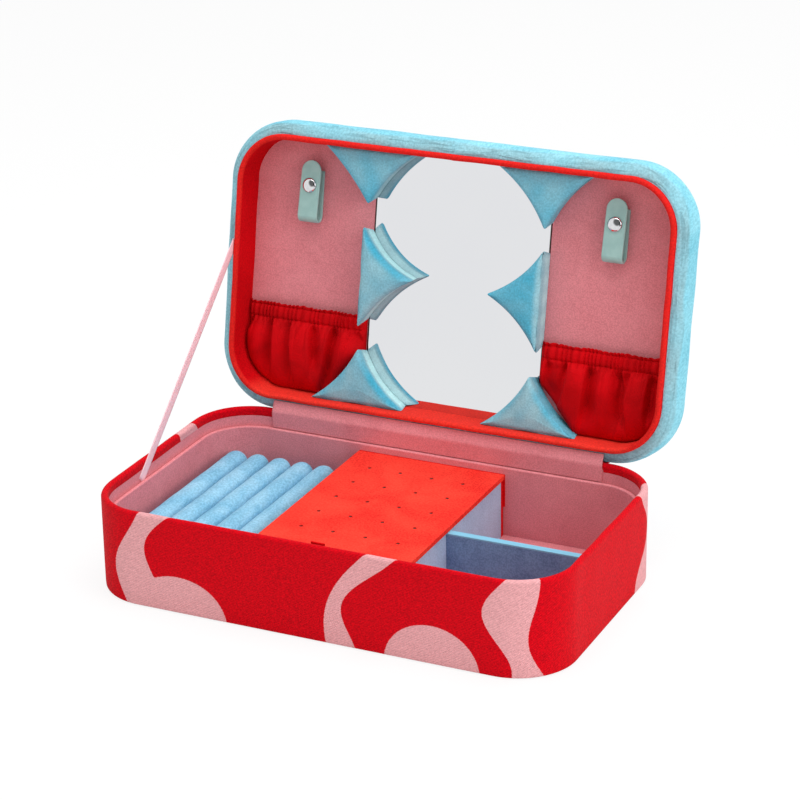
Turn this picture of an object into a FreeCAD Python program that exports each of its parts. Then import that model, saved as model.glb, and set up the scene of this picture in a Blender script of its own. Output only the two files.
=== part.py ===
"""Fabric jewellery box with a hinged lid, a mirror, ring rolls and an earring flap.

Millimetres, +Z up. The origin is the centre of the underside, the front is -Y and the lid is
hinged along the back, +Y. Lid pieces are drawn where they lie with the box shut, then turned
open about the hinge line, because the box rests open.
"""
import FreeCAD, Part

import math
import os
import re

import Sketcher

Vector = FreeCAD.Vector

# Driving dimensions: name, millimetres (or degrees), what it is.
SIZES = [
    # Base
    ("box_width", 280, "outside width of the base"),
    ("box_depth", 165.5, "outside depth of the base"),
    ("base_height", 56.2, "underside to the top of the base's rim"),
    ("corner_radius", 34, "outside corner radius of the base"),
    ("cover_thick", 0.8, "embroidered cloth on the outside wall"),
    ("wall_thick", 2.6, "board wall of the base"),
    ("band_thick", 0.6, "suede band on the wall's inner face"),
    ("cover_turn_in", 5, "how far the cloth turns in over the rim"),
    ("cover_lift", 0.3, "the cloth's lower edge above the underside"),
    ("rim_round", 1.9, "rounding of the rim's two edges"),
    ("sheet_thick", 0.6, "sheet under the base"),
    ("sheet_inset", 2, "sheet's edge inside the base's outline"),
    ("floor_thick", 1.8, "floor board"),
    ("floor_liner_thick", 0.6, "suede on the floor"),
    ("liner_thick", 2.4, "padded card liner inside the wall"),
    ("liner_top", 45, "height of the liner's top edge"),
    ("liner_round", 0.8, "rounding of the liner's top edge"),
    ("glue_gap", 0.1, "glue line between nested pieces"),
    # Earring flap and partitions
    ("flap_width", 92, "width of the earring flap"),
    ("flap_top", 41, "height of the flap's upper face"),
    ("flap_thick", 3, "thickness of the flap"),
    ("flap_skin", 0.5, "suede round the flap's board"),
    ("flap_lining", 0.4, "suede under the flap"),
    ("flap_lining_inset", 1, "the lining's edge inside the flap's outline"),
    ("flap_back_gap", 1, "liner to the flap's hinge edge"),
    ("flap_front_gap", 5, "liner to the flap's front edge"),
    ("flap_overhang", 1, "flap's side edge past the partition"),
    ("hole_radius", 1.1, "earring hole"),
    ("hole_pitch_across", 19.5, "earring holes, side to side"),
    ("hole_pitch_along", 21.7, "earring holes, front to back"),
    ("hole_centre", 11, "middle of the hole grid behind the box's middle"),
    ("partition_thick", 3, "partition under each side of the flap"),
    ("spine_thick", 3, "board under the flap's hinge edge"),
    ("tape_thick", 0.6, "suede tape that hinges the flap"),
    ("tape_drop", 20, "height of the tape below the flap"),
    ("tab_width", 8, "pull tab"),
    ("tab_thick", 1.2, "two layers of the pull tab's ribbon"),
    ("tab_height", 11, "pull tab above the flap"),
    ("tab_setback", 1, "pull tab behind the flap's front edge"),
    ("divider_thick", 4.5, "cross divider of the right bay"),
    ("divider_setback", 2, "the divider's middle in front of the box's middle"),
    # Ring rolls
    ("roll_radius", 7.1, "padded ring roll"),
    ("roll_pitch", 14.4, "roll to roll"),
    ("roll_end_gap", 8, "liner to a roll's end"),
    ("roll_round", 6, "rounding of a roll's ends"),
    ("roll_margin", 5.9, "liner to the first roll"),
    ("roll_top", 33.5, "height of the rolls' tops"),
    # Lid
    ("lid_angle", 100.8, "opening angle at rest, held by the stay ribbon"),
    ("lid_gap", 0.5, "rim to rim with the box shut"),
    ("hinge_in", 0.5, "hinge line in front of the base's back face"),
    ("hinge_rise", 1.2, "hinge line above the lid's rim"),
    ("lid_height", 28, "lid's rim to its padded top"),
    ("lid_bulge", 2.5, "how far the padded lid swells past the base"),
    ("lid_rim_round", 7, "rounding of the padded rim"),
    ("lid_top_round", 11.5, "rounding of the padded top"),
    ("plush_thick", 1.6, "plush cover"),
    ("padding_least", 0.6, "padding between the plush and the wall's top edge"),
    ("lid_wall_thick", 2.5, "board wall of the lid"),
    ("lid_board_thick", 3, "board under the lid's padding"),
    ("lid_inner_depth", 19, "lid's rim to its inner panels"),
    ("closing_gap", 0.5, "collar to the base's inner face with the box shut"),
    ("collar_thick", 3.3, "suede covered collar inside the lid"),
    ("collar_drop", 3.2, "collar past the lid's rim"),
    ("collar_round", 1.2, "rounding of the collar's edge"),
    ("panel_thick", 3, "suede covered panels beside the mirror"),
    ("mirror_width", 110, "mirror"),
    ("mirror_thick", 2, "mirror glass"),
    ("mirror_gap", 0.3, "mirror to the panels"),
    # Plush points on the mirror
    ("point_length", 57, "straight side of a plush point"),
    ("point_rise", 31, "straight side to the tip"),
    ("point_tip", 2, "width of the tip"),
    ("point_hollow", 3, "how far the two other sides curve in"),
    ("point_thick", 14, "height of a point above the mirror"),
    ("point_overlap", 1, "end points' middle inside the mirror's side edge"),
    ("point_outset", 2.5, "side points' straight side outside the mirror's edge"),
    # Pockets
    ("pocket_height", 51, "hinge side of the collar to the pocket's mouth"),
    ("pocket_depth", 8.5, "pocket's front above the panel"),
    ("pocket_wall", 1.2, "pocket cloth with its folds"),
    ("pocket_gap", 2.5, "mirror to the pocket"),
    ("elastic_height", 8, "elastic in the pocket's mouth"),
    ("elastic_thick", 0.8, "elastic's thickness"),
    ("elastic_inset", 1, "elastic's clearance to the mouth and the sides"),
    # Snap straps
    ("strap_centre", 95, "strap's middle from the box's middle"),
    ("strap_width", 12.5, "leather strap"),
    ("strap_thick", 1.4, "leather thickness"),
    ("strap_bottom", 26.5, "strap's fold in front of the box's middle"),
    ("strap_leaf", 32, "fold to the strap's tip"),
    ("loop_inside", 6, "inside of the strap's fold"),
    ("strap_tip_gap", 3, "leaf to leaf at the strap's tip"),
    ("snap_rise", 17.5, "fold to the snap's middle"),
    ("snap_cap_radius", 4.3, "snap cap"),
    ("snap_cap_height", 2, "snap cap's dome"),
    ("snap_cap_round", 1.7, "rounding of the dome"),
    ("snap_base_radius", 3.4, "snap socket and stud plate"),
    ("snap_socket_height", 1.4, "snap socket"),
    ("snap_bore_radius", 1.9, "hole of the socket"),
    ("snap_plate_height", 0.8, "stud plate"),
    ("snap_post_radius", 1.5, "stud"),
    ("snap_post_height", 2.9, "stud above its plate"),
    # Hinge cloth and stay
    ("hinge_end", 2, "cloth hinge short of the corner's start at each end"),
    ("hinge_thick", 0.6, "cloth of the hinge"),
    ("hinge_bend", 2, "bend of the outer hinge cloth"),
    ("hinge_out_drop", 18, "outer hinge cloth below the base's rim"),
    ("hinge_out_reach", 8, "outer hinge cloth along the lid's back"),
    ("ribbon_width", 6, "stay ribbon"),
    ("ribbon_thick", 0.3, "stay ribbon's thickness"),
    ("ribbon_base", 22, "ribbon's foot in front of the box's middle"),
    ("ribbon_lid", 12.1, "ribbon's head in front of the box's middle, box shut"),
    ("soft_gap", 0.3, "soft pieces to their neighbours"),
]
HOLE_COLUMNS = 4
HOLE_ROWS = 5

doc = FreeCAD.newDocument("jewelry_box")
sheet = doc.addObject("Spreadsheet::Sheet", "Sizes")
for row, (alias, size, note) in enumerate(SIZES, start=1):
    sheet.set(f"A{row}", alias)
    sheet.set(f"B{row}", str(size))
    sheet.setAlias(f"B{row}", alias)
    sheet.set(f"C{row}", note)
doc.recompute()
NAMES = {alias for alias, _, _ in SIZES}
pieces = []


def full(expression):
    """Write each size in an expression as a reference to its cell."""
    return re.sub(r"[A-Za-z_]\w*", lambda m: f"Sizes.{m[0]}" if m[0] in NAMES else m[0], expression)


def value(expression):
    """The number that an expression gives with the sheet's sizes."""
    return float(sheet.evalExpression(full(expression)))


def bind(item, prop, expression):
    """Tie a property of an object to an expression of sizes."""
    item.setExpression(prop, full(expression))


def keep(item, label):
    """Name a finished piece and list it for writing."""
    item.Label = label
    pieces.append(item)
    return item


# Outlines: an inset from the base's outside face gives width, depth and corner radius.
def outline(inset):
    return (f"(box_width - 2 * ({inset}))", f"(box_depth - 2 * ({inset}))", f"(corner_radius - ({inset}))")


COVER_IN = "cover_thick"
WALL_IN = "cover_thick + wall_thick"
BAND_IN = "cover_thick + wall_thick + band_thick"
LINER_OUT = f"{BAND_IN} + glue_gap"
LINER_IN = f"{LINER_OUT} + liner_thick"
COLLAR_OUT = f"{BAND_IN} + closing_gap"
COLLAR_IN = f"{COLLAR_OUT} + collar_thick"
LID_WALL_IN = f"{COLLAR_OUT} - glue_gap"
LID_WALL_OUT = f"{LID_WALL_IN} - lid_wall_thick"
LID_OUT = "0 - lid_bulge"
PLUSH_IN = "plush_thick - lid_bulge"
FOAM_OUT = f"{PLUSH_IN} + glue_gap"
FOAM_IN = f"{LID_WALL_OUT} - glue_gap"
LID_FILL = f"{LID_WALL_IN} + glue_gap"

# Heights and places.
FLOOR_TOP = "sheet_thick + floor_thick"
BAY_FLOOR = f"{FLOOR_TOP} + floor_liner_thick"
FLAP_UNDER = "flap_top - flap_thick"
LID_RIM = "base_height + lid_gap"
LID_TOP = f"{LID_RIM} + lid_height"
PANEL_FACE = f"{LID_RIM} + lid_inner_depth"
LID_BOARD = f"{PANEL_FACE} + panel_thick"
LID_BOARD_TOP = f"{LID_BOARD} + lid_board_thick"
HINGE_Y = "(box_depth / 2 - hinge_in)"
HINGE_Z = f"({LID_RIM} + hinge_rise)"
LINER_HALF_WIDTH = f"(box_width / 2 - ({LINER_IN}))"
LINER_HALF_DEPTH = f"(box_depth / 2 - ({LINER_IN}))"
FLAP_BACK = f"({LINER_HALF_DEPTH} - flap_back_gap)"
FLAP_FRONT = f"(flap_front_gap - {LINER_HALF_DEPTH})"
FLAP_LENGTH = f"({FLAP_BACK} - {FLAP_FRONT})"
FLAP_MIDDLE = f"(({FLAP_BACK} + {FLAP_FRONT}) / 2)"
PARTITION_FACE = "(flap_width / 2 - flap_overhang)"
SPINE_BACK = f"({LINER_HALF_DEPTH} - 2 * glue_gap - tape_thick)"
SPINE_FRONT = f"({SPINE_BACK} - spine_thick)"
LOOP_RADIUS = "(loop_inside / 2 + strap_thick)"
FOLD_Y = f"(0 - strap_bottom - {LOOP_RADIUS})"
LEAF_FACE = f"({PANEL_FACE} - 2 * {LOOP_RADIUS})"
LEAF_TILT = "(-1 * atan((loop_inside - strap_tip_gap) / strap_leaf))"


def open_point(y, z):
    """Where a point of the shut lid, in the plane across the hinge, lies with the lid open."""
    angle = math.radians(value("lid_angle"))
    from_axis = (value(HINGE_Y) - y, z - value(HINGE_Z))
    return (
        value(HINGE_Y) - math.cos(angle) * from_axis[0] + math.sin(angle) * from_axis[1],
        value(HINGE_Z) + math.sin(angle) * from_axis[0] + math.cos(angle) * from_axis[1],
    )


def open_lid(item):
    """Turn a piece drawn on the shut lid about the hinge line to the open lid."""
    item.Placement = FreeCAD.Placement(Vector(0, 0, 0), FreeCAD.Rotation(Vector(1, 0, 0), -1))
    turn = "(lid_angle * 1 deg)"
    bind(item, "Placement.Rotation.Angle", f"-1 * {turn}")
    bind(item, "Placement.Base.y", f"{HINGE_Y} - cos({turn}) * {HINGE_Y} - sin({turn}) * {HINGE_Z}")
    bind(item, "Placement.Base.z", f"{HINGE_Z} + sin({turn}) * {HINGE_Y} - cos({turn}) * {HINGE_Z}")
    return item


# Sketches.
def new_sketch(body, at, turn=None):
    """A sketch on the body's XY plane, moved to the place that three expressions give.

    turn is an optional axis and an expression or number of degrees.
    """
    plane = [item for item in body.Origin.OriginFeatures if item.Role == "XY_Plane"][0]
    sketch = body.newObject("Sketcher::SketchObject", f"{body.Name}_sketch")
    sketch.AttachmentSupport = [(plane, "")]
    sketch.MapMode = "FlatFace"
    if turn:
        axis, degrees = turn
        sketch.AttachmentOffset = FreeCAD.Placement(Vector(0, 0, 0), FreeCAD.Rotation(axis, value(str(degrees))))
        bind(sketch, "AttachmentOffset.Rotation.Angle", str(degrees))
    for name, expression in zip("xyz", at):
        bind(sketch, f"AttachmentOffset.Base.{name}", expression)
    return sketch


def limit(sketch, constraint, expression):
    """Add a dimension to a sketch and tie it to an expression of sizes."""
    index = sketch.addConstraint(constraint)
    bind(sketch, f"Constraints[{index}]", expression)


def join(sketch, first, count):
    """Join the ends of the last few edges into a loop."""
    for step in range(count):
        sketch.addConstraint(Sketcher.Constraint("Coincident", first + step, 2, first + (step + 1) % count, 1))


def rectangle(sketch, width, depth):
    """A rectangle about the sketch's origin."""
    x, y = value(width) / 2, value(depth) / 2
    corners = [Vector(-x, -y, 0), Vector(x, -y, 0), Vector(x, y, 0), Vector(-x, y, 0)]
    first = sketch.GeometryCount
    sketch.addGeometry([Part.LineSegment(corners[i], corners[(i + 1) % 4]) for i in range(4)])
    join(sketch, first, 4)
    for edge, kind in enumerate(("Horizontal", "Vertical", "Horizontal", "Vertical")):
        sketch.addConstraint(Sketcher.Constraint(kind, first + edge))
    sketch.addConstraint(Sketcher.Constraint("Symmetric", first, 1, first + 1, 2, -1, 1))
    limit(sketch, Sketcher.Constraint("DistanceX", first, 1, first, 2, 2 * x), width)
    limit(sketch, Sketcher.Constraint("DistanceY", first + 1, 1, first + 1, 2, 2 * y), depth)


def rounded_rectangle(sketch, width, depth, radius):
    """A rectangle with round corners about the sketch's origin."""
    r = value(radius)
    x, y = value(width) / 2 - r, value(depth) / 2 - r
    centres = [Vector(x, -y, 0), Vector(x, y, 0), Vector(-x, y, 0), Vector(-x, -y, 0)]
    edges = []
    for corner, centre in enumerate(centres):
        start = math.radians(90 * (corner - 1))
        arc = Part.ArcOfCircle(Part.Circle(centre, Vector(0, 0, 1), r), start, start + math.pi / 2)
        following = centres[(corner + 1) % 4]
        leave = Vector(math.cos(start + math.pi / 2), math.sin(start + math.pi / 2), 0) * r
        edges += [arc, Part.LineSegment(centre + leave, following + leave)]
    first = sketch.GeometryCount
    sketch.addGeometry(edges)
    for edge in range(8):
        ends = (first + edge, 2, first + (edge + 1) % 8, 1)
        sketch.addConstraint(Sketcher.Constraint("Tangent", *ends))
    for edge, kind in ((1, "Vertical"), (3, "Horizontal")):
        sketch.addConstraint(Sketcher.Constraint(kind, first + edge))
    for edge in (2, 4, 6):
        sketch.addConstraint(Sketcher.Constraint("Equal", first, first + edge))
    sketch.addConstraint(Sketcher.Constraint("Symmetric", first, 3, first + 4, 3, -1, 1))
    limit(sketch, Sketcher.Constraint("Radius", first, r), radius)
    limit(sketch, Sketcher.Constraint("DistanceX", first + 5, 1, first + 1, 1, 2 * (x + r)), width)
    limit(sketch, Sketcher.Constraint("DistanceY", first + 7, 1, first + 3, 1, 2 * (y + r)), depth)


def circle(sketch, radius, x="0", y="0"):
    """A circle at a place in the sketch."""
    index = sketch.addGeometry(Part.Circle(Vector(value(x), value(y), 0), Vector(0, 0, 1), value(radius)))
    limit(sketch, Sketcher.Constraint("Radius", index, value(radius)), radius)
    for kind, place, other_axis in (("DistanceX", x, -2), ("DistanceY", y, -1)):
        if abs(value(place)) < 1e-9:
            sketch.addConstraint(Sketcher.Constraint("PointOnObject", index, 3, other_axis))
        else:
            limit(sketch, Sketcher.Constraint(kind, -1, 1, index, 3, value(place)), place)


# Features.
def new_body(name):
    return doc.addObject("PartDesign::Body", name)


def pad(body, sketch, height, down=False):
    """Raise a sketch to a height, or lower it."""
    feature = body.newObject("PartDesign::Pad", f"{body.Name}_pad")
    feature.Profile = sketch
    feature.Reversed = down
    bind(feature, "Length", height)
    sketch.Visibility = False
    doc.recompute()
    return feature


def pocket(body, sketch, depth):
    """Cut a sketch down into the body, and make sure that something was cut."""
    before = body.Shape.Volume
    feature = body.newObject("PartDesign::Pocket", f"{body.Name}_pocket")
    feature.Profile = sketch
    bind(feature, "Length", depth)
    doc.recompute()
    if body.Shape.Volume > before - 1e-6:
        raise RuntimeError(f"{feature.Name} cuts nothing")
    return feature


def soften(body, height, radius, inside=None, outside=None):
    """Round the edges that lie at one height, between two insets from the base's outside face."""
    level = value(height)
    feature = body.Tip
    names = []
    for number, edge in enumerate(feature.Shape.Edges, start=1):
        box = edge.BoundBox
        if abs(box.ZMin - level) > 1e-4 or abs(box.ZMax - level) > 1e-4:
            continue
        reach = value("box_width") / 2 - max(abs(box.XMin), abs(box.XMax))
        reach = min(reach, value("box_depth") / 2 - max(abs(box.YMin), abs(box.YMax)))
        if inside is not None and reach < value(inside) - 1e-4:
            continue
        if outside is not None and reach > value(outside) + 1e-4:
            continue
        names.append(f"Edge{number}")
    fillet = body.newObject("PartDesign::Fillet", f"{body.Name}_round")
    fillet.Base = (feature, names)
    bind(fillet, "Radius", radius)
    doc.recompute()
    return fillet


def slab(name, inset, bottom, top):
    """A plate with the box's outline at an inset, from one height to another."""
    body = new_body(name)
    sketch = new_sketch(body, ("0", "0", bottom))
    rounded_rectangle(sketch, *outline(inset))
    pad(body, sketch, f"({top}) - ({bottom})")
    return body


def ring(name, outer, inner, bottom, top):
    """A wall with the box's outline between two insets, from one height to another."""
    body = new_body(name)
    sketch = new_sketch(body, ("0", "0", bottom))
    rounded_rectangle(sketch, *outline(outer))
    rounded_rectangle(sketch, *outline(inner))
    pad(body, sketch, f"({top}) - ({bottom})")
    return body


def block(name, width, depth, height, middle, bottom):
    """A plain board: its size, the middle of its plan and its lower face."""
    body = new_body(name)
    sketch = new_sketch(body, (*middle, bottom))
    rectangle(sketch, width, depth)
    pad(body, sketch, height)
    return body


def box_between(name, low, high):
    """A box between two corners."""
    box = doc.addObject("Part::Box", name)
    for prop, a, b in zip(("Length", "Width", "Height"), low, high):
        bind(box, prop, f"({b}) - ({a})")
    for axis, a in zip("xyz", low):
        bind(box, f"Placement.Base.{axis}", a)
    return box


def boolean(kind, name, base, tool):
    """A Part boolean of two objects."""
    feature = doc.addObject(f"Part::{kind}", name)
    feature.Base = base
    feature.Tool = tool
    doc.recompute()
    return feature


def extruded(name, points, x_low, x_high):
    """A closed outline in the plane across the hinge, carried along X."""
    wire = Part.makePolygon([Vector(x_low, y, z) for y, z in points + points[:1]])
    feature = doc.addObject("Part::Feature", name)
    feature.Shape = Part.Face(wire).extrude(Vector(x_high - x_low, 0, 0))
    return feature


def band_outline(path, thick):
    """Two sides of a thin band along a bent path, mitred at the bends."""
    sides = ([], [])
    for index, (y, z) in enumerate(path):
        runs = []
        for a, b in ((index - 1, index), (index, index + 1)):
            if a >= 0 and b < len(path):
                dy, dz = path[b][0] - path[a][0], path[b][1] - path[a][1]
                length = math.hypot(dy, dz)
                runs.append((-dz / length, dy / length))
        ny = sum(run[0] for run in runs) / len(runs)
        nz = sum(run[1] for run in runs) / len(runs)
        scale = thick / 2 / (ny * ny + nz * nz)
        sides[0].append((y + ny * scale, z + nz * scale))
        sides[1].append((y - ny * scale, z - nz * scale))
    return sides[0] + sides[1][::-1]


# Base shell
def build_base():
    body = slab("base_cover", "0", "cover_lift", "base_height")
    whole = "base_height"
    for level, outer, inner in (
        ("base_height", BAND_IN, None),
        ("base_height - cover_thick", COVER_IN, WALL_IN),
        ("base_height - cover_turn_in", WALL_IN, BAND_IN),
    ):
        sketch = new_sketch(body, ("0", "0", level))
        rounded_rectangle(sketch, *outline(outer))
        if inner:
            rounded_rectangle(sketch, *outline(inner))
        pocket(body, sketch, whole)
    soften(body, "base_height", "rim_round")
    keep(body, "base_cover")
    keep(ring("base_wall", COVER_IN, WALL_IN, "sheet_thick", "base_height - cover_thick"), "base_wall")
    keep(ring("base_band", WALL_IN, BAND_IN, FLOOR_TOP, "base_height - cover_turn_in"), "base_band")
    keep(slab("bottom_sheet", "sheet_inset", "0", "sheet_thick"), "bottom_sheet")
    keep(slab("floor_board", f"{WALL_IN} + glue_gap", "sheet_thick", FLOOR_TOP), "floor_board")
    keep(slab("floor_liner", f"{LINER_IN} + glue_gap", FLOOR_TOP, BAY_FLOOR), "floor_liner")
    liner = ring("base_liner", LINER_OUT, LINER_IN, FLOOR_TOP, "liner_top")
    soften(liner, "liner_top", "liner_round")
    keep(liner, "base_liner")


# Partitions, divider and ring rolls
def build_insert():
    height = f"{FLAP_UNDER} - ({BAY_FLOOR})"
    front = f"(glue_gap - {LINER_HALF_DEPTH})"
    back = f"({SPINE_FRONT} - glue_gap)"
    for label, side in (("partition_left", "-1"), ("partition_right", "1")):
        middle = (f"{side} * ({PARTITION_FACE} - partition_thick / 2)", f"({front} + {back}) / 2")
        keep(block(label, "partition_thick", f"{back} - {front}", height, middle, BAY_FLOOR), label)
    middle = ("0", f"({SPINE_FRONT} + {SPINE_BACK}) / 2")
    keep(block("flap_spine", f"2 * {PARTITION_FACE}", "spine_thick", height, middle, BAY_FLOOR), "flap_spine")
    middle = ("0", f"{SPINE_BACK} + glue_gap + tape_thick / 2")
    tape = block("flap_tape", "flap_width", "tape_thick", "tape_drop", middle, "flap_top - tape_drop")
    keep(tape, "flap_tape")
    low = f"({PARTITION_FACE} + glue_gap)"
    high = f"({LINER_HALF_WIDTH} - glue_gap)"
    middle = (f"({low} + {high}) / 2", "0 - divider_setback")
    keep(block("cross_divider", f"{high} - {low}", "divider_thick", height, middle, BAY_FLOOR), "cross_divider")

    seat = "roll_top - 2 * roll_radius"
    plate = slab("tray_plate", f"{LINER_IN} + glue_gap", BAY_FLOOR, seat)
    bay = box_between(
        "tray_bay",
        ("0 - box_width / 2", "0 - box_depth / 2", BAY_FLOOR),
        (f"0 - {PARTITION_FACE} - glue_gap", "box_depth / 2", seat),
    )
    keep(boolean("Common", "ring_tray", plate, bay), "ring_tray")
    first = f"(roll_margin + roll_radius - {LINER_HALF_WIDTH})"
    room = value(f"{LINER_HALF_WIDTH} - {PARTITION_FACE} - roll_margin")
    for number in range(int(room / value("roll_pitch"))):
        name = f"ring_roll_{number + 1}"
        body = new_body(name)
        sketch = new_sketch(body, ("0", "0", f"roll_end_gap - {LINER_HALF_DEPTH}"))
        circle(sketch, "roll_radius")
        solid = pad(body, sketch, f"2 * ({LINER_HALF_DEPTH} - roll_end_gap)")
        ends = [f"Edge{i}" for i, edge in enumerate(solid.Shape.Edges, start=1) if len(edge.Vertexes) == 1]
        rounds = body.newObject("PartDesign::Fillet", f"{name}_round")
        rounds.Base = (solid, ends)
        bind(rounds, "Radius", "roll_round")
        body.Placement = FreeCAD.Placement(Vector(0, 0, 0), FreeCAD.Rotation(Vector(1, 0, 0), 90))
        bind(body, "Placement.Base.x", f"{first} + {number} * roll_pitch")
        bind(body, "Placement.Base.z", "roll_top - roll_radius")
        keep(body, name)


# Earring flap
def punch(body, level, depth):
    """The grid of earring holes."""
    sketch = new_sketch(body, ("0", "hole_centre", level))
    for column in range(HOLE_COLUMNS):
        for row in range(HOLE_ROWS):
            across = f"({column} - {(HOLE_COLUMNS - 1) / 2}) * hole_pitch_across"
            along = f"({row} - {(HOLE_ROWS - 1) / 2}) * hole_pitch_along"
            circle(sketch, "hole_radius", across, along)
    pocket(body, sketch, depth)


def build_flap():
    middle = ("0", FLAP_MIDDLE)
    inner = ("flap_width - 2 * flap_skin", f"{FLAP_LENGTH} - 2 * flap_skin")
    above_lining = f"{FLAP_UNDER} + flap_lining"
    cover = block("flap_cover", "flap_width", FLAP_LENGTH, "flap_thick - flap_lining", middle, above_lining)
    sketch = new_sketch(cover, (*middle, "flap_top - flap_skin"))
    rectangle(sketch, *inner)
    pocket(cover, sketch, "flap_thick")
    punch(cover, "flap_top", "flap_thick")
    keep(cover, "flap_cover")
    core = block("flap_core", *inner, "flap_thick - flap_lining - flap_skin", middle, above_lining)
    punch(core, "flap_top", "flap_thick")
    keep(core, "flap_core")
    size = ("flap_width - 2 * flap_lining_inset", f"{FLAP_LENGTH} - 2 * flap_lining_inset")
    lining = block("flap_lining_sheet", *size, "flap_lining", middle, FLAP_UNDER)
    punch(lining, "flap_top", "flap_thick")
    keep(lining, "flap_lining")
    place = ("0", f"{FLAP_FRONT} + tab_setback + tab_thick / 2")
    tab = block("pull_tab", "tab_width", "tab_thick", "tab_height", place, "flap_top + glue_gap")
    keep(tab, "pull_tab")


# Lid shell
def build_lid():
    outer = slab("lid_outer", LID_OUT, LID_RIM, LID_TOP)
    soften(outer, LID_RIM, "lid_rim_round")
    soften(outer, LID_TOP, "lid_top_round")
    cavity = slab("lid_cavity", PLUSH_IN, f"{LID_RIM} + plush_thick", f"{LID_TOP} - plush_thick")
    soften(cavity, f"{LID_RIM} + plush_thick", "lid_rim_round - plush_thick")
    soften(cavity, f"{LID_TOP} - plush_thick", "lid_top_round - plush_thick")
    opening = slab("lid_opening", LID_WALL_IN, LID_RIM, f"{LID_RIM} + 2 * plush_thick")
    hollow = boolean("Fuse", "lid_hollow", cavity, opening)
    keep(open_lid(boolean("Cut", "lid_cover", outer, hollow)), "lid_cover")

    inside = "(plush_thick + glue_gap)"
    padding = slab("lid_padding", FOAM_OUT, f"{LID_RIM} + {inside}", f"{LID_TOP} - {inside}")
    soften(padding, f"{LID_RIM} + {inside}", f"lid_rim_round - {inside}")
    soften(padding, f"{LID_TOP} - {inside}", f"lid_top_round - {inside}")
    # The wall ends where some padding is still left between it and the rounded top.
    least = "(plush_thick + glue_gap + padding_least)"
    round_top = f"(lid_top_round - {least})"
    step = f"({LID_WALL_OUT} - ({LID_OUT}) - {least})"
    drop = f"({round_top} - sqrt({step} * (2 * {round_top} - {step})))"
    wall_top = f"({LID_TOP} - {least} - {drop})"
    board_in = "(lid_top_round - lid_bulge)"
    wall_room = slab("lid_wall_room", FOAM_IN, LID_RIM, f"{wall_top} + glue_gap")
    board_room = slab("lid_board_room", f"{board_in} - glue_gap", LID_RIM, f"{LID_BOARD_TOP} + glue_gap")
    core = boolean("Fuse", "lid_core", wall_room, board_room)
    keep(open_lid(boolean("Cut", "lid_foam", padding, core)), "lid_foam")

    # The wall stands where the rounded inside of the plush has come up to its outer face.
    round_in = "(lid_rim_round - plush_thick)"
    step = f"({LID_WALL_OUT} - ({PLUSH_IN}))"
    climb = f"({round_in} - sqrt({step} * (2 * {round_in} - {step})))"
    wall_foot = f"{LID_RIM} + plush_thick + glue_gap + {climb}"
    keep(open_lid(ring("lid_wall", LID_WALL_OUT, LID_WALL_IN, wall_foot, wall_top)), "lid_wall")
    keep(open_lid(slab("lid_board", board_in, LID_BOARD, LID_BOARD_TOP)), "lid_board")
    collar = ring("lid_collar", COLLAR_OUT, COLLAR_IN, f"{LID_RIM} - collar_drop", PANEL_FACE)
    soften(collar, f"{LID_RIM} - collar_drop", "collar_round")
    keep(open_lid(collar), "lid_collar")

    edge = "(mirror_width / 2 + mirror_gap)"
    for label, low, high in (
        ("lid_panel_left", "0 - box_width / 2", f"0 - {edge}"),
        ("lid_panel_right", edge, "box_width / 2"),
    ):
        plate = slab(f"{label}_plate", LID_FILL, PANEL_FACE, LID_BOARD)
        half = box_between(f"{label}_half", (low, "0 - box_depth / 2", PANEL_FACE), (high, "box_depth / 2", LID_BOARD))
        keep(open_lid(boolean("Common", label, plate, half)), label)
    depth = outline(LID_FILL)[1]
    glass = block("mirror_glass", "mirror_width", depth, "mirror_thick", ("0", "0"), PANEL_FACE)
    keep(open_lid(glass), "mirror_glass")
    back_face = f"{PANEL_FACE} + mirror_thick"
    backing = block("mirror_backing", "mirror_width", depth, "panel_thick - mirror_thick", ("0", "0"), back_face)
    keep(open_lid(backing), "mirror_backing")


# Plush points round the mirror
END_POINT_X = "(mirror_width / 2 - point_overlap)"
END_POINT_Y = f"(box_depth / 2 - ({COLLAR_IN}) - glue_gap)"


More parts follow.
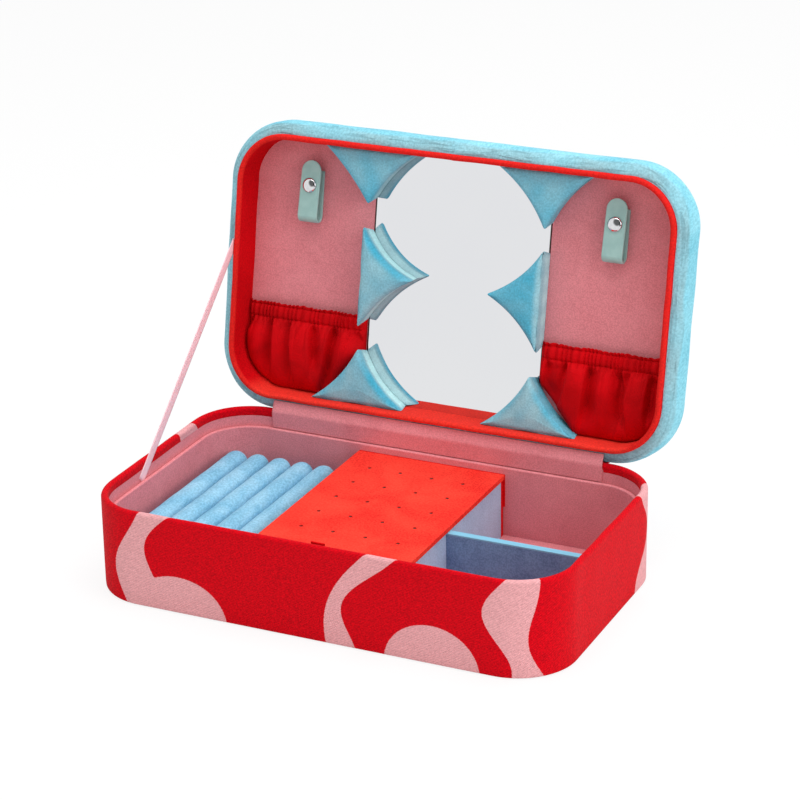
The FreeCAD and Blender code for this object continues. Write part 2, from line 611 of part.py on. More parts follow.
def plush_point(label, middle, turn, grow="0"):
    """A pad with one straight side and two hollow ones that meet at a blunt tip.

    grow is how far the three free sides are moved out, to cut room for the pad in a neighbour.
    """
    # A side's slope makes its two ends move by a little more and a little less than the side itself.
    length = f"(point_length + 3 * {grow})"
    rise = f"(point_rise + {grow})"
    tip = f"(point_tip + {grow})"
    chord = f"hypot(({length} - {tip}) / 2; {rise})"
    radius = f"({chord} ^ 2 / (8 * point_hollow) + point_hollow / 2)"
    body = new_body(label)
    sketch = new_sketch(body, (*middle, f"{PANEL_FACE} - point_thick"), (Vector(0, 0, 1), turn))
    half, top, half_tip = value(length) / 2, value(rise), value(tip) / 2
    out = Vector(top, half - half_tip, 0) / value(chord)

    def side(start, end, outward):
        return Part.Arc(start, (start + end) / 2 - outward * value("point_hollow"), end)

    right, left = Vector(half, 0, 0), Vector(-half, 0, 0)
    tip_right, tip_left = Vector(half_tip, top, 0), Vector(-half_tip, top, 0)
    sketch.addGeometry([
        Part.LineSegment(left, right),
        side(right, tip_right, out),
        Part.LineSegment(tip_right, tip_left),
        side(tip_left, left, Vector(-out.x, out.y, 0)),
    ])
    # An arc in a sketch runs counter-clockwise, so which end starts it depends on its side.
    ends = {}
    for edge in (1, 3):
        for point in (1, 2):
            ends[edge, "foot" if sketch.getPoint(edge, point).y < top / 2 else "tip"] = point
    for first, second in (
        ((0, 2), (1, ends[1, "foot"])), ((1, ends[1, "tip"]), (2, 1)),
        ((2, 2), (3, ends[3, "tip"])), ((3, ends[3, "foot"]), (0, 1)),
    ):
        sketch.addConstraint(Sketcher.Constraint("Coincident", *first, *second))
    sketch.addConstraint(Sketcher.Constraint("Symmetric", 0, 1, 0, 2, -2))
    sketch.addConstraint(Sketcher.Constraint("PointOnObject", 0, 1, -1))
    sketch.addConstraint(Sketcher.Constraint("Symmetric", 2, 1, 2, 2, -2))
    sketch.addConstraint(Sketcher.Constraint("Equal", 1, 3))
    limit(sketch, Sketcher.Constraint("DistanceX", 0, 1, 0, 2, 2 * half), length)
    limit(sketch, Sketcher.Constraint("DistanceX", 2, 2, 2, 1, 2 * half_tip), tip)
    limit(sketch, Sketcher.Constraint("DistanceY", -1, 1, 2, 1, top), rise)
    limit(sketch, Sketcher.Constraint("Radius", 1, value(radius)), radius)
    pad(body, sketch, "point_thick")
    return body


def build_points():
    side_x = "(mirror_width / 2 + point_outset)"
    for label, x, y, turn in (
        ("point_top_left", f"0 - {END_POINT_X}", f"0 - {END_POINT_Y}", 0),
        ("point_top_right", END_POINT_X, f"0 - {END_POINT_Y}", 0),
        ("point_bottom_left", f"0 - {END_POINT_X}", END_POINT_Y, 180),
        ("point_bottom_right", END_POINT_X, END_POINT_Y, 180),
        ("point_side_left", f"0 - {side_x}", "0", 270),
        ("point_side_right", side_x, "0", 90),
    ):
        keep(open_lid(plush_point(label, (x, y), turn)), label)


# Pockets
def build_pockets():
    wall_in = f"{COLLAR_IN} + glue_gap"
    front = f"{PANEL_FACE} - pocket_depth"
    mouth = f"(box_depth / 2 - ({COLLAR_IN}) - pocket_height)"
    inner_x = "(mirror_width / 2 + pocket_gap)"
    for side, sign in (("left", -1), ("right", 1)):
        shapes = []
        for part, inset, near, back, low in (
            ("shell", wall_in, inner_x, mouth, front),
            ("hollow", f"{wall_in} + pocket_wall", f"({inner_x} + pocket_wall)", "0", f"{front} + pocket_wall"),
        ):
            plate = slab(f"pocket_{side}_{part}_plate", inset, low, PANEL_FACE)
            span = (near, "box_width / 2") if sign > 0 else ("0 - box_width / 2", f"0 - {near}")
            region = box_between(
                f"pocket_{side}_{part}_region", (span[0], back, low), (span[1], "box_depth / 2", PANEL_FACE)
            )
            shapes.append(boolean("Common", f"pocket_{side}_{part}", plate, region))
        sewn = boolean("Cut", f"pocket_{side}_sewn", *shapes)
        room = plush_point(f"pocket_{side}_room", (f"{sign} * {END_POINT_X}", END_POINT_Y), 180, "soft_gap")
        keep(open_lid(boolean("Cut", f"pocket_{side}", sewn, room)), f"pocket_{side}")
        low = f"({inner_x} + pocket_wall + elastic_inset)"
        high = f"(box_width / 2 - ({wall_in}) - pocket_wall - elastic_inset)"
        middle = (f"{sign} * ({low} + {high}) / 2", f"{mouth} + elastic_inset + elastic_height / 2")
        bottom = f"{front} + pocket_wall"
        band = block(f"pocket_elastic_{side}", f"{high} - {low}", "elastic_height", "elastic_thick", middle, bottom)
        keep(open_lid(band), f"pocket_elastic_{side}")


# Snap straps
def strap_fold(label, x):
    """The leaf against the panel, with the fold that carries the front leaf."""
    centre = (value(FOLD_Y), value(PANEL_FACE) - value(LOOP_RADIUS))
    outer = value(LOOP_RADIUS)
    inner = outer - value("strap_thick")
    end = value(FOLD_Y) - value("strap_leaf")
    low = x - value("strap_width") / 2

    def at(y, z):
        return Vector(low, y, z)

    def fold(radius, start, stop):
        middle = at(centre[0] + radius, centre[1])
        return Part.Arc(at(centre[0], centre[1] + start * radius), middle, at(centre[0], centre[1] + stop * radius))

    face, leaf = centre[1] + outer, centre[1] + inner
    edges = [
        Part.LineSegment(at(end, face), at(centre[0], face)),
        fold(outer, 1, -1),
        Part.LineSegment(at(centre[0], centre[1] - outer), at(centre[0], centre[1] - inner)),
        fold(inner, -1, 1),
        Part.LineSegment(at(centre[0], leaf), at(end, leaf)),
        Part.LineSegment(at(end, leaf), at(end, face)),
    ]
    wire = Part.Wire([edge.toShape() for edge in edges])
    feature = doc.addObject("Part::Feature", label)
    feature.Shape = Part.Face(wire).extrude(Vector(value("strap_width"), 0, 0))
    keep(open_lid(feature), label)


def build_straps():
    tilt = (Vector(1, 0, 0), LEAF_TILT)
    for side, sign in (("left", -1), ("right", 1)):
        x = f"{sign} * strap_centre"
        hinge = (x, f"{FOLD_Y} - soft_gap", LEAF_FACE)
        strap_fold(f"strap_back_{side}", value(x))

        leaf = new_body(f"strap_leaf_{side}")
        sketch = new_sketch(leaf, hinge, tilt)
        half, length = value("strap_width / 2"), value("strap_leaf")
        shoulder = half - length
        sketch.addGeometry([
            Part.LineSegment(Vector(half, 0, 0), Vector(-half, 0, 0)),
            Part.LineSegment(Vector(-half, 0, 0), Vector(-half, shoulder, 0)),
            Part.ArcOfCircle(Part.Circle(Vector(0, shoulder, 0), Vector(0, 0, 1), half), math.pi, 2 * math.pi),
            Part.LineSegment(Vector(half, shoulder, 0), Vector(half, 0, 0)),
        ])
        sketch.addConstraint(Sketcher.Constraint("Coincident", 0, 2, 1, 1))
        sketch.addConstraint(Sketcher.Constraint("Tangent", 1, 2, 2, 1))
        sketch.addConstraint(Sketcher.Constraint("Tangent", 2, 2, 3, 1))
        sketch.addConstraint(Sketcher.Constraint("Coincident", 3, 2, 0, 1))
        sketch.addConstraint(Sketcher.Constraint("Symmetric", 0, 1, 0, 2, -1, 1))
        sketch.addConstraint(Sketcher.Constraint("Vertical", 1))
        sketch.addConstraint(Sketcher.Constraint("PointOnObject", 0, 1, -1))
        limit(sketch, Sketcher.Constraint("DistanceX", 0, 2, 0, 1, 2 * half), "strap_width")
        limit(sketch, Sketcher.Constraint("DistanceY", 2, 3, -1, 1, -shoulder), "strap_leaf - strap_width / 2")
        pad(leaf, sketch, "strap_thick")
        keep(open_lid(leaf), f"strap_leaf_{side}")

        cap = new_body(f"snap_cap_{side}")
        sketch = new_sketch(cap, hinge, tilt)
        circle(sketch, "snap_cap_radius", "0", "0 - snap_rise")
        dome = pad(cap, sketch, "snap_cap_height", down=True)
        faces = [face for face in dome.Shape.Faces if isinstance(face.Surface, Part.Plane)]
        outer_face = min(faces, key=lambda face: face.CenterOfMass.z)
        rim = [i for i, edge in enumerate(dome.Shape.Edges, start=1)
               if any(edge.isSame(other) for other in outer_face.Edges)]
        rounds = cap.newObject("PartDesign::Fillet", f"snap_cap_{side}_round")
        rounds.Base = (dome, [f"Edge{i}" for i in rim])
        bind(rounds, "Radius", "snap_cap_round")
        keep(open_lid(cap), f"snap_cap_{side}")

        socket = new_body(f"snap_socket_{side}")
        sketch = new_sketch(socket, hinge, tilt)
        circle(sketch, "snap_base_radius", "0", "0 - snap_rise")
        circle(sketch, "snap_bore_radius", "0", "0 - snap_rise")
        raised = pad(socket, sketch, "snap_socket_height + strap_thick")
        trim = new_sketch(socket, hinge, tilt)
        circle(trim, "2 * snap_base_radius", "0", "0 - snap_rise")
        leaf_room = socket.newObject("PartDesign::Pocket", f"snap_socket_{side}_room")
        leaf_room.Profile = trim
        leaf_room.Reversed = True
        bind(leaf_room, "Length", "strap_thick")
        doc.recompute()
        if leaf_room.Shape.Volume >= raised.Shape.Volume:
            raise RuntimeError(f"{leaf_room.Name} cuts nothing")
        keep(open_lid(socket), f"snap_socket_{side}")

        stud = new_body(f"snap_stud_{side}")
        middle = (x, f"{FOLD_Y} - snap_rise")
        plate_face = f"{PANEL_FACE} - strap_thick"
        for radius, height, level in (
            ("snap_base_radius", "snap_plate_height", plate_face),
            ("snap_post_radius", "snap_post_height", f"{plate_face} - snap_plate_height"),
        ):
            sketch = new_sketch(stud, (*middle, level))
            circle(sketch, radius)
            pad(stud, sketch, height, down=True)
        keep(open_lid(stud), f"snap_stud_{side}")


# Cloth hinge and stay ribbon, which bend as the lid moves
def build_cloth():
    half = value("box_width / 2 - corner_radius - hinge_end")
    thick = value("hinge_thick")
    gap = value("soft_gap")
    back = value("box_depth") / 2
    rim = value("base_height")
    inner_face = back - value(BAND_IN) - gap - thick / 2
    rim_plane = value(LID_RIM) - gap - thick / 2
    collar_face = back - value(COLLAR_OUT)
    path = [
        (inner_face, value("liner_top") + gap),
        (inner_face, rim - value("rim_round") / 2),
        (inner_face + value("rim_round") / 2, rim + gap + thick),
        open_point(collar_face + gap + thick / 2, rim_plane),
    ]
    keep(extruded("hinge_inner", band_outline(path, thick), -half, half), "hinge_inner")

    lid_back = back + value("lid_bulge") + gap + thick / 2
    outer_face = back + gap + thick / 2
    round_end = value(LID_RIM) + value("lid_rim_round")
    start = open_point(lid_back, round_end)
    end = open_point(lid_back, round_end + value("hinge_out_reach"))
    slope = (end[1] - start[1]) / (end[0] - start[0])
    bend = value("hinge_bend")
    corner = start[1] - slope * (start[0] - outer_face)
    path = [
        (outer_face, rim - value("hinge_out_drop")),
        (outer_face, corner - bend),
        (outer_face + bend, corner + slope * bend),
        end,
    ]
    keep(extruded("hinge_outer", band_outline(path, thick), -half, half), "hinge_outer")

    foot_height = value("liner_top") + gap
    head_height = value(LID_RIM) - gap
    foot = (-value("ribbon_base"), foot_height)
    head = open_point(-value("ribbon_lid"), head_height)
    run = math.hypot(head[0] - foot[0], head[1] - foot[1])
    along = ((head[0] - foot[0]) / run, (head[1] - foot[1]) / run)
    rim_a = open_point(0, head_height)
    rim_along = (head[0] - rim_a[0], head[1] - rim_a[1])
    corners = []
    for side in (-1, 1):
        offset = side * value("ribbon_width") / 2
        start = (foot[0] - along[1] * offset, foot[1] + along[0] * offset)
        step = (foot_height - start[1]) / along[1]
        lower = (start[0] + along[0] * step, foot_height)
        cross = along[0] * rim_along[1] - along[1] * rim_along[0]
        reach = ((head[0] - start[0]) * rim_along[1] - (head[1] - start[1]) * rim_along[0]) / cross
        upper = (start[0] + along[0] * reach, start[1] + along[1] * reach)
        corners.append((lower, upper))
    points = [corners[0][0], corners[0][1], corners[1][1], corners[1][0]]
    x_low = value(BAND_IN) - value("box_width") / 2 + value("glue_gap") / 2
    keep(extruded("stay_ribbon", points, x_low, x_low + value("ribbon_thick")), "stay_ribbon")


build_base()
build_insert()
build_flap()
build_lid()
build_points()
build_pockets()
build_straps()
build_cloth()
doc.recompute()

for item in doc.Objects:
    if any(word in item.State for word in ("Invalid", "Error")):
        raise RuntimeError(f"{item.Name} failed: {item.State}")
os.makedirs("parts", exist_ok=True)
for item in pieces:
    if item.Shape.isNull() or not item.Shape.isValid() or not item.Shape.Solids:
        raise RuntimeError(f"{item.Label} has no valid solid")
for item in pieces:
    item.Shape.exportStep(f"parts/{item.Label}.step")
print(f"{len(pieces)} pieces written")
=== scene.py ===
"""Looks of the open jewelry box: cloth, suede, velvet, plush, leather, mirror and metal round its solids.

Sizes are in millimetres in the box's own frame and become metres when a mesh is made.
Lid pieces are worked out with the lid shut and then swung open about the hinge line.
"""

import logging
import math
from dataclasses import dataclass, field
from enum import Enum

import bpy
import numpy as np
from mathutils import Matrix


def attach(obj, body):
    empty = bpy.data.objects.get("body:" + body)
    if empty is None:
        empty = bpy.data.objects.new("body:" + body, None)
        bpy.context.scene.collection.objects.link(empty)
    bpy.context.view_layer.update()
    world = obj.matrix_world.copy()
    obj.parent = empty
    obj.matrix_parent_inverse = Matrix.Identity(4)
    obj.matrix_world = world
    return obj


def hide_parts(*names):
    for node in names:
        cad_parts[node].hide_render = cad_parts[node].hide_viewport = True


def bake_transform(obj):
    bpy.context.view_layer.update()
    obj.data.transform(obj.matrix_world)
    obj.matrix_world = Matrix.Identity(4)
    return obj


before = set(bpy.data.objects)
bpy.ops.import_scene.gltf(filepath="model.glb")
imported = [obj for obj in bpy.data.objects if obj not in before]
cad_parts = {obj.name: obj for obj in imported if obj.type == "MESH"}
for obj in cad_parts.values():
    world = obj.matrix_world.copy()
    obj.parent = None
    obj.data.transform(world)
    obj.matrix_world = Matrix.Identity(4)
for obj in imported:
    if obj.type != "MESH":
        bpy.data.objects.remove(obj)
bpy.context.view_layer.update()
LOG = logging.getLogger("jewelry_box")
MM = 0.001
TURN = 2 * math.pi
HINGE_Y, HINGE_Z = 82.25, 57.9
OPEN_ANGLE = math.radians(100.8)
SHARP_ANGLE = math.radians(60)
PANEL = 75.7
WHITE = (255, 255, 255)
Colour = tuple[float, float, float]
Line = tuple[tuple[float, float], ...]
Material = bpy.types.Material
Piece = bpy.types.Object
Socket = bpy.types.NodeSocket


class Side(Enum):
    """The two ends of the box, by the sign of x."""

    LEFT = -1
    RIGHT = 1

    @property
    def label(self) -> str:
        """The word that the names of pieces and solids use."""
        return self.name.lower()


def linear(colour: Colour) -> tuple[float, float, float, float]:
    """A screen colour of 0 to 255 as the linear colour that a shader socket takes.

    Args:
        colour: red, green and blue as a screen shows them.

    Returns:
        Linear red, green and blue, and full opacity.
    """
    part = np.asarray(colour, float) / 255
    value = np.where(part <= 0.04045, part / 12.92, ((part + 0.055) / 1.055) ** 2.4)
    return (*(float(v) for v in value), 1.0)


def dimmed(colour: Colour, share: float) -> Colour:
    """A screen colour at a share of its brightness."""
    return tuple(share * c for c in colour)


def swung_open(points: np.ndarray) -> np.ndarray:
    """Points of the shut lid, turned about the hinge line to where the open lid has them.

    Args:
        points: an array whose last axis is x, y, z with the lid shut.

    Returns:
        The same array shape with the lid open.
    """
    y, z = points[..., 1] - HINGE_Y, points[..., 2] - HINGE_Z
    c, s = math.cos(OPEN_ANGLE), math.sin(OPEN_ANGLE)
    return np.stack([points[..., 0], HINGE_Y + c * y + s * z, HINGE_Z - s * y + c * z], axis=-1)


def ripple(u: np.ndarray, v: np.ndarray, seed: int, waves: int, low: float, high: float) -> np.ndarray:
    """Uneven rise and fall: a sum of slanted sine waves of random length, slant and phase.

    Args:
        u, v: two lengths along the surface, in millimetres.
        seed: picks the waves.
        waves: how many are summed.
        low, high: shortest and longest wavelength.

    Returns:
        Heights of about -1 to 1.
    """
    rng = np.random.default_rng(seed)
    length = rng.uniform(low, high, waves)
    slant = rng.uniform(-0.9, 0.9, waves)
    phase = rng.uniform(0, TURN, waves)
    angle = TURN * (u[..., None] + v[..., None] * slant) / length + phase
    return np.sin(angle).sum(axis=-1) / math.sqrt(waves)


def smooth_step(value: np.ndarray, low: float, high: float) -> np.ndarray:
    """0 below low, 1 above high, and an even S between."""
    t = np.clip((value - low) / (high - low), 0, 1)
    return t * t * (3 - 2 * t)


def walked(line: np.ndarray) -> np.ndarray:
    """The length walked along a line to each of its points."""
    return np.concatenate([[0], np.cumsum(np.linalg.norm(np.diff(line, axis=0), axis=1))])


def eased(line: np.ndarray, width: int) -> np.ndarray:
    """A flat line with its corners rounded: each point becomes a weighted mean of its neighbours.

    Args:
        line: the points, with half of the width's extra points at each end.
        width: how many points a mean takes in.

    Returns:
        The rounded line, without the extra points.
    """
    kernel = np.hanning(width + 2)[1:-1]
    return np.stack([np.convolve(line[:, k], kernel / kernel.sum(), "valid") for k in (0, 1)], axis=-1)


@dataclass(frozen=True)
class Outline:
    """A rectangle with rounded corners, walked counter-clockwise from the middle of its front."""

    half_x: float
    half_y: float
    radius: float

    def walk(self, count: int) -> tuple[np.ndarray, np.ndarray, np.ndarray]:
        """Evenly spaced points: a corner centre that slides along the straights, plus the radius outwards.

        Args:
            count: number of points round the outline.

        Returns:
            Points, outward directions, and the length walked to each.
        """
        a, b, r = self.half_x - self.radius, self.half_y - self.radius, self.radius
        bend = math.pi * r / 2
        stops = np.cumsum([0, a, bend, 2 * b, bend, 2 * a, bend, 2 * b, bend, a])
        turn = np.radians([-90, -90, 0, 0, 90, 90, 180, 180, 270, 270])
        length = np.linspace(0, stops[-1], count, endpoint=False)
        angle = np.interp(length, stops, turn)
        centre_x = np.interp(length, stops, [0, a, a, a, a, -a, -a, -a, -a, 0])
        centre_y = np.interp(length, stops, [-b, -b, -b, b, b, b, b, -b, -b, -b])
        out = np.stack([np.cos(angle), np.sin(angle)], axis=-1)
        return np.stack([centre_x, centre_y], axis=-1) + r * out, out, length


BOX_OUTLINE = Outline(140.0, 82.75, 34.0)


@dataclass(frozen=True)
class Wall:
    """A profile carried round the box's outline: rows follow the profile and columns go round.

    Inset is how far inside the outline each point of the profile lies, and height is its z.
    """

    inset: np.ndarray
    height: np.ndarray
    count: int

    def lengths(self) -> tuple[np.ndarray, np.ndarray]:
        """Length round the outline and length up the profile, at each point."""
        along, climb = np.meshgrid(
            BOX_OUTLINE.walk(self.count)[2], walked(np.stack([self.inset, self.height], axis=-1)))
        return along, climb

    def grid(self, puff: np.ndarray, sink: np.ndarray | float = 0.0) -> np.ndarray:
        """The wall's points, moved outwards by puff and down by sink."""
        points, outward, _ = BOX_OUTLINE.walk(self.count)
        xy = points - (self.inset[:, None] - puff)[..., None] * outward
        z = np.broadcast_to(self.height[:, None], xy.shape[:2]) - sink
        return np.concatenate([xy, z[..., None]], axis=-1)


def grid_piece(
    name: str,
    points: np.ndarray,
    wrap: bool = False,
    caps: tuple[bool, bool] = (False, False),
    flip: bool = False,
    values: dict[str, np.ndarray] | None = None,
) -> Piece:
    """A mesh from a grid of points: each four neighbours make a face.

    The UV map holds metres: across is the length along a row and up is the length along a column.

    Args:
        name: the piece's name.
        points: rows by columns by x, y, z, in millimetres.
        wrap: whether the last column joins the first.
        caps: whether the first and last rows are closed with a face.
        flip: turns the faces over.
        values: named numbers, one for each point.

    Returns:
        The new object, at the origin.
    """
    rows, columns = points.shape[:2]
    index = np.arange(rows * columns).reshape(rows, columns)
    ahead = np.roll(index, -1, axis=1) if wrap else index[:, 1:]
    here = index if wrap else index[:, :-1]
    faces = np.stack([here[:-1], ahead[:-1], ahead[1:], here[1:]], axis=-1).reshape(-1, 4)
    across = np.concatenate([points, points[:, :1]], axis=1) if wrap else points
    corner = np.stack(np.meshgrid(walked(across[rows // 2]) * MM, walked(points[:, 0]) * MM), axis=-1)
    uv = np.stack([corner[:-1, :-1], corner[:-1, 1:], corner[1:, 1:], corner[1:, :-1]], axis=2)
    uv = uv.reshape(-1, 4, 2)
    if flip:
        faces = faces[:, ::-1]
        uv = uv[:, ::-1]
    ends = []
    if caps[0]:
        ends.append(index[0] if flip else index[0][::-1])
    if caps[1]:
        ends.append(index[-1][::-1] if flip else index[-1])
    mesh = bpy.data.meshes.new(name)
    spots = (points.reshape(-1, 3) * MM).tolist()
    mesh.from_pydata(spots, [], faces.tolist() + [end.tolist() for end in ends])
    flat = np.concatenate([uv.ravel(), np.zeros(2 * sum(len(end) for end in ends))])
    mesh.uv_layers.new(name="UVMap").data.foreach_set("uv", flat.astype(np.float32))
    mesh.polygons.foreach_set("use_smooth", np.ones(len(mesh.polygons), bool))
    for key, value in (values or {}).items():
        mesh.attributes.new(key, "FLOAT", "POINT").data.foreach_set("value", value.ravel().astype(np.float32))
    mesh.update()
    if any(caps):
        mesh.set_sharp_from_angle(angle=SHARP_ANGLE)
    piece = bpy.data.objects.new(name, mesh)
    bpy.context.scene.collection.objects.link(piece)
    return piece


def mesh_area(piece: Piece) -> float:
    """The area of a piece's faces, in square metres."""
    area = np.zeros(len(piece.data.polygons), np.float32)
    piece.data.polygons.foreach_get("area", area)
    return float(area.sum())


def thicken(piece: Piece, thick: float) -> None:
    """Gives a sheet its thickness, in millimetres, half to each side."""
    shell = piece.modifiers.new("thickness", "SOLIDIFY")
    shell.thickness = thick * MM
    shell.offset = 0.0


def plump(piece: Piece, voxel: float, pressure: float, most: float, steps: int = 12) -> None:
    """Blows a closed pad up as stuffed cloth: it is simulated under pressure and its movement capped.

    Args:
        piece: a closed mesh, which is changed.
        voxel: size of the cloth's own even mesh, in millimetres.
        pressure: inner pressure.
        most: the furthest that a point may move, in millimetres.
        steps: frames that the simulation runs.
    """
    scene = bpy.context.scene
    even = piece.modifiers.new("even", "REMESH")
    even.mode = "VOXEL"
    even.voxel_size = voxel * MM
    mesh = bpy.data.meshes.new_from_object(piece.evaluated_get(bpy.context.evaluated_depsgraph_get()))
    piece.modifiers.clear()
    cloth = bpy.data.objects.new("stuffed", mesh)
    scene.collection.objects.link(cloth)
    before = np.zeros(len(mesh.vertices) * 3, np.float32)
    mesh.vertices.foreach_get("co", before)
    settings = cloth.modifiers.new("cloth", "CLOTH").settings
    settings.use_pressure = True
    settings.uniform_pressure_force = pressure
    settings.quality = 5
    settings.effector_weights.gravity = 0
    for step in range(1, steps + 1):
        scene.frame_set(step)
    shaped = cloth.evaluated_get(bpy.context.evaluated_depsgraph_get())
    after = np.zeros(len(before), np.float32)
    shaped.to_mesh().vertices.foreach_get("co", after)
    shaped.to_mesh_clear()
    move = (after - before).reshape(-1, 3)
    size = np.linalg.norm(move, axis=1, keepdims=True)
    move *= np.minimum(1, most * MM / np.maximum(size, 1e-9))
    result = mesh.copy()
    result.vertices.foreach_set("co", (before.reshape(-1, 3) + move).ravel())
    result.polygons.foreach_set("use_smooth", np.ones(len(result.polygons), bool))
    bpy.data.objects.remove(cloth)
    piece.data = result
    scene.frame_set(1)
    piece.modifiers.new("even", "SMOOTH").iterations = 4
    smoother = piece.modifiers.new("smooth", "SUBSURF")
    smoother.levels = smoother.render_levels = 1


class Tree:
    """A material's nodes, with short ways to add the few kinds that the finishes use."""

    def __init__(self, name: str) -> None:
        """Starts a material with one principled shader."""
        self.material = bpy.data.materials.new(name)
        self.material.use_nodes = True
        self.nodes = self.material.node_tree.nodes
        self.links = self.material.node_tree.links
        self.shader = self.nodes["Principled BSDF"]
        self.place = self.nodes.new("ShaderNodeTexCoord")

    def set(self, **values: object) -> None:
        """Sets plain values on the shader's sockets; an underscore stands for a space."""
        for key, value in values.items():
            self.shader.inputs[key.replace("_", " ")].default_value = value

    def feed(self, socket: str, source: Socket) -> None:
        """Links a source to one of the shader's sockets."""
        self.links.new(source, self.shader.inputs[socket])

    def mapped(self, source: str, key: str, value: Colour) -> Socket:
        """Coordinates of one kind, scaled or turned on the three axes."""
        mapping = self.nodes.new("ShaderNodeMapping")
        mapping.inputs[key].default_value = value
        self.links.new(self.place.outputs[source], mapping.inputs["Vector"])
        return mapping.outputs["Vector"]

    def noise(self, scale: float, detail: float, warp: float = 0.0, vector: Socket | None = None) -> Socket:
        """Cloudy noise of so many lumps to the metre."""
        node = self.nodes.new("ShaderNodeTexNoise")
        node.inputs["Scale"].default_value = scale
        node.inputs["Detail"].default_value = detail
        node.inputs["Distortion"].default_value = warp
        self.links.new(vector or self.place.outputs["Object"], node.inputs["Vector"])
        return node.outputs["Fac"]

    def wave(self, scale: float, vector: Socket, direction: str, warp: float) -> Socket:
        """Even ribs across one direction."""
        node = self.nodes.new("ShaderNodeTexWave")
        node.bands_direction = direction
        node.inputs["Scale"].default_value = scale
        node.inputs["Distortion"].default_value = warp
        self.links.new(vector, node.inputs["Vector"])
        return node.outputs["Fac"]

    def span(self, source: Socket, low: float, high: float,
             to_low: float = 0.0, to_high: float = 1.0) -> Socket:
        """Stretches a range of values to another, with a smooth start and end."""
        node = self.nodes.new("ShaderNodeMapRange")
        node.interpolation_type = "SMOOTHSTEP"
        for socket, value in zip(("From Min", "From Max", "To Min", "To Max"), (low, high, to_low, to_high)):
            node.inputs[socket].default_value = value
        self.links.new(source, node.inputs["Value"])
        return node.outputs["Result"]

    def mix(self, factor: Socket | float, first: Socket | Colour, second: Socket | Colour,
            kind: str = "MIX") -> Socket:
        """Mixes two colours, each a socket or a screen colour, by a socket or by a fixed share."""
        node = self.nodes.new("ShaderNodeMix")
        node.data_type = "RGBA"
        node.blend_type = kind
        for slot, value in ((0, factor), (6, first), (7, second)):
            if isinstance(value, Socket):
                self.links.new(value, node.inputs[slot])
            else:
                node.inputs[slot].default_value = linear(value) if slot else value
        return node.outputs[2]

    def axis(self, letter: str) -> Socket:
        """One coordinate of the piece's own frame, in metres."""
        axes = self.nodes.new("ShaderNodeSeparateXYZ")
        self.links.new(self.place.outputs["Object"], axes.inputs["Vector"])
        return axes.outputs[letter]

    def attribute(self, name: str) -> Socket:
        """One number that the mesh keeps at each point."""
        node = self.nodes.new("ShaderNodeAttribute")
        node.attribute_name = name
        return node.outputs["Fac"]

    def bump(self, height: Socket, depth: float, strength: float, below: Socket | None = None) -> Socket:
        """Raises the surface by a height of so many millimetres, over another bump if one is given."""
        node = self.nodes.new("ShaderNodeBump")
        node.inputs["Strength"].default_value = strength
        node.inputs["Distance"].default_value = depth * MM
        self.links.new(height, node.inputs["Height"])
        if below is not None:
            self.links.new(below, node.inputs["Normal"])
        return node.outputs["Normal"]


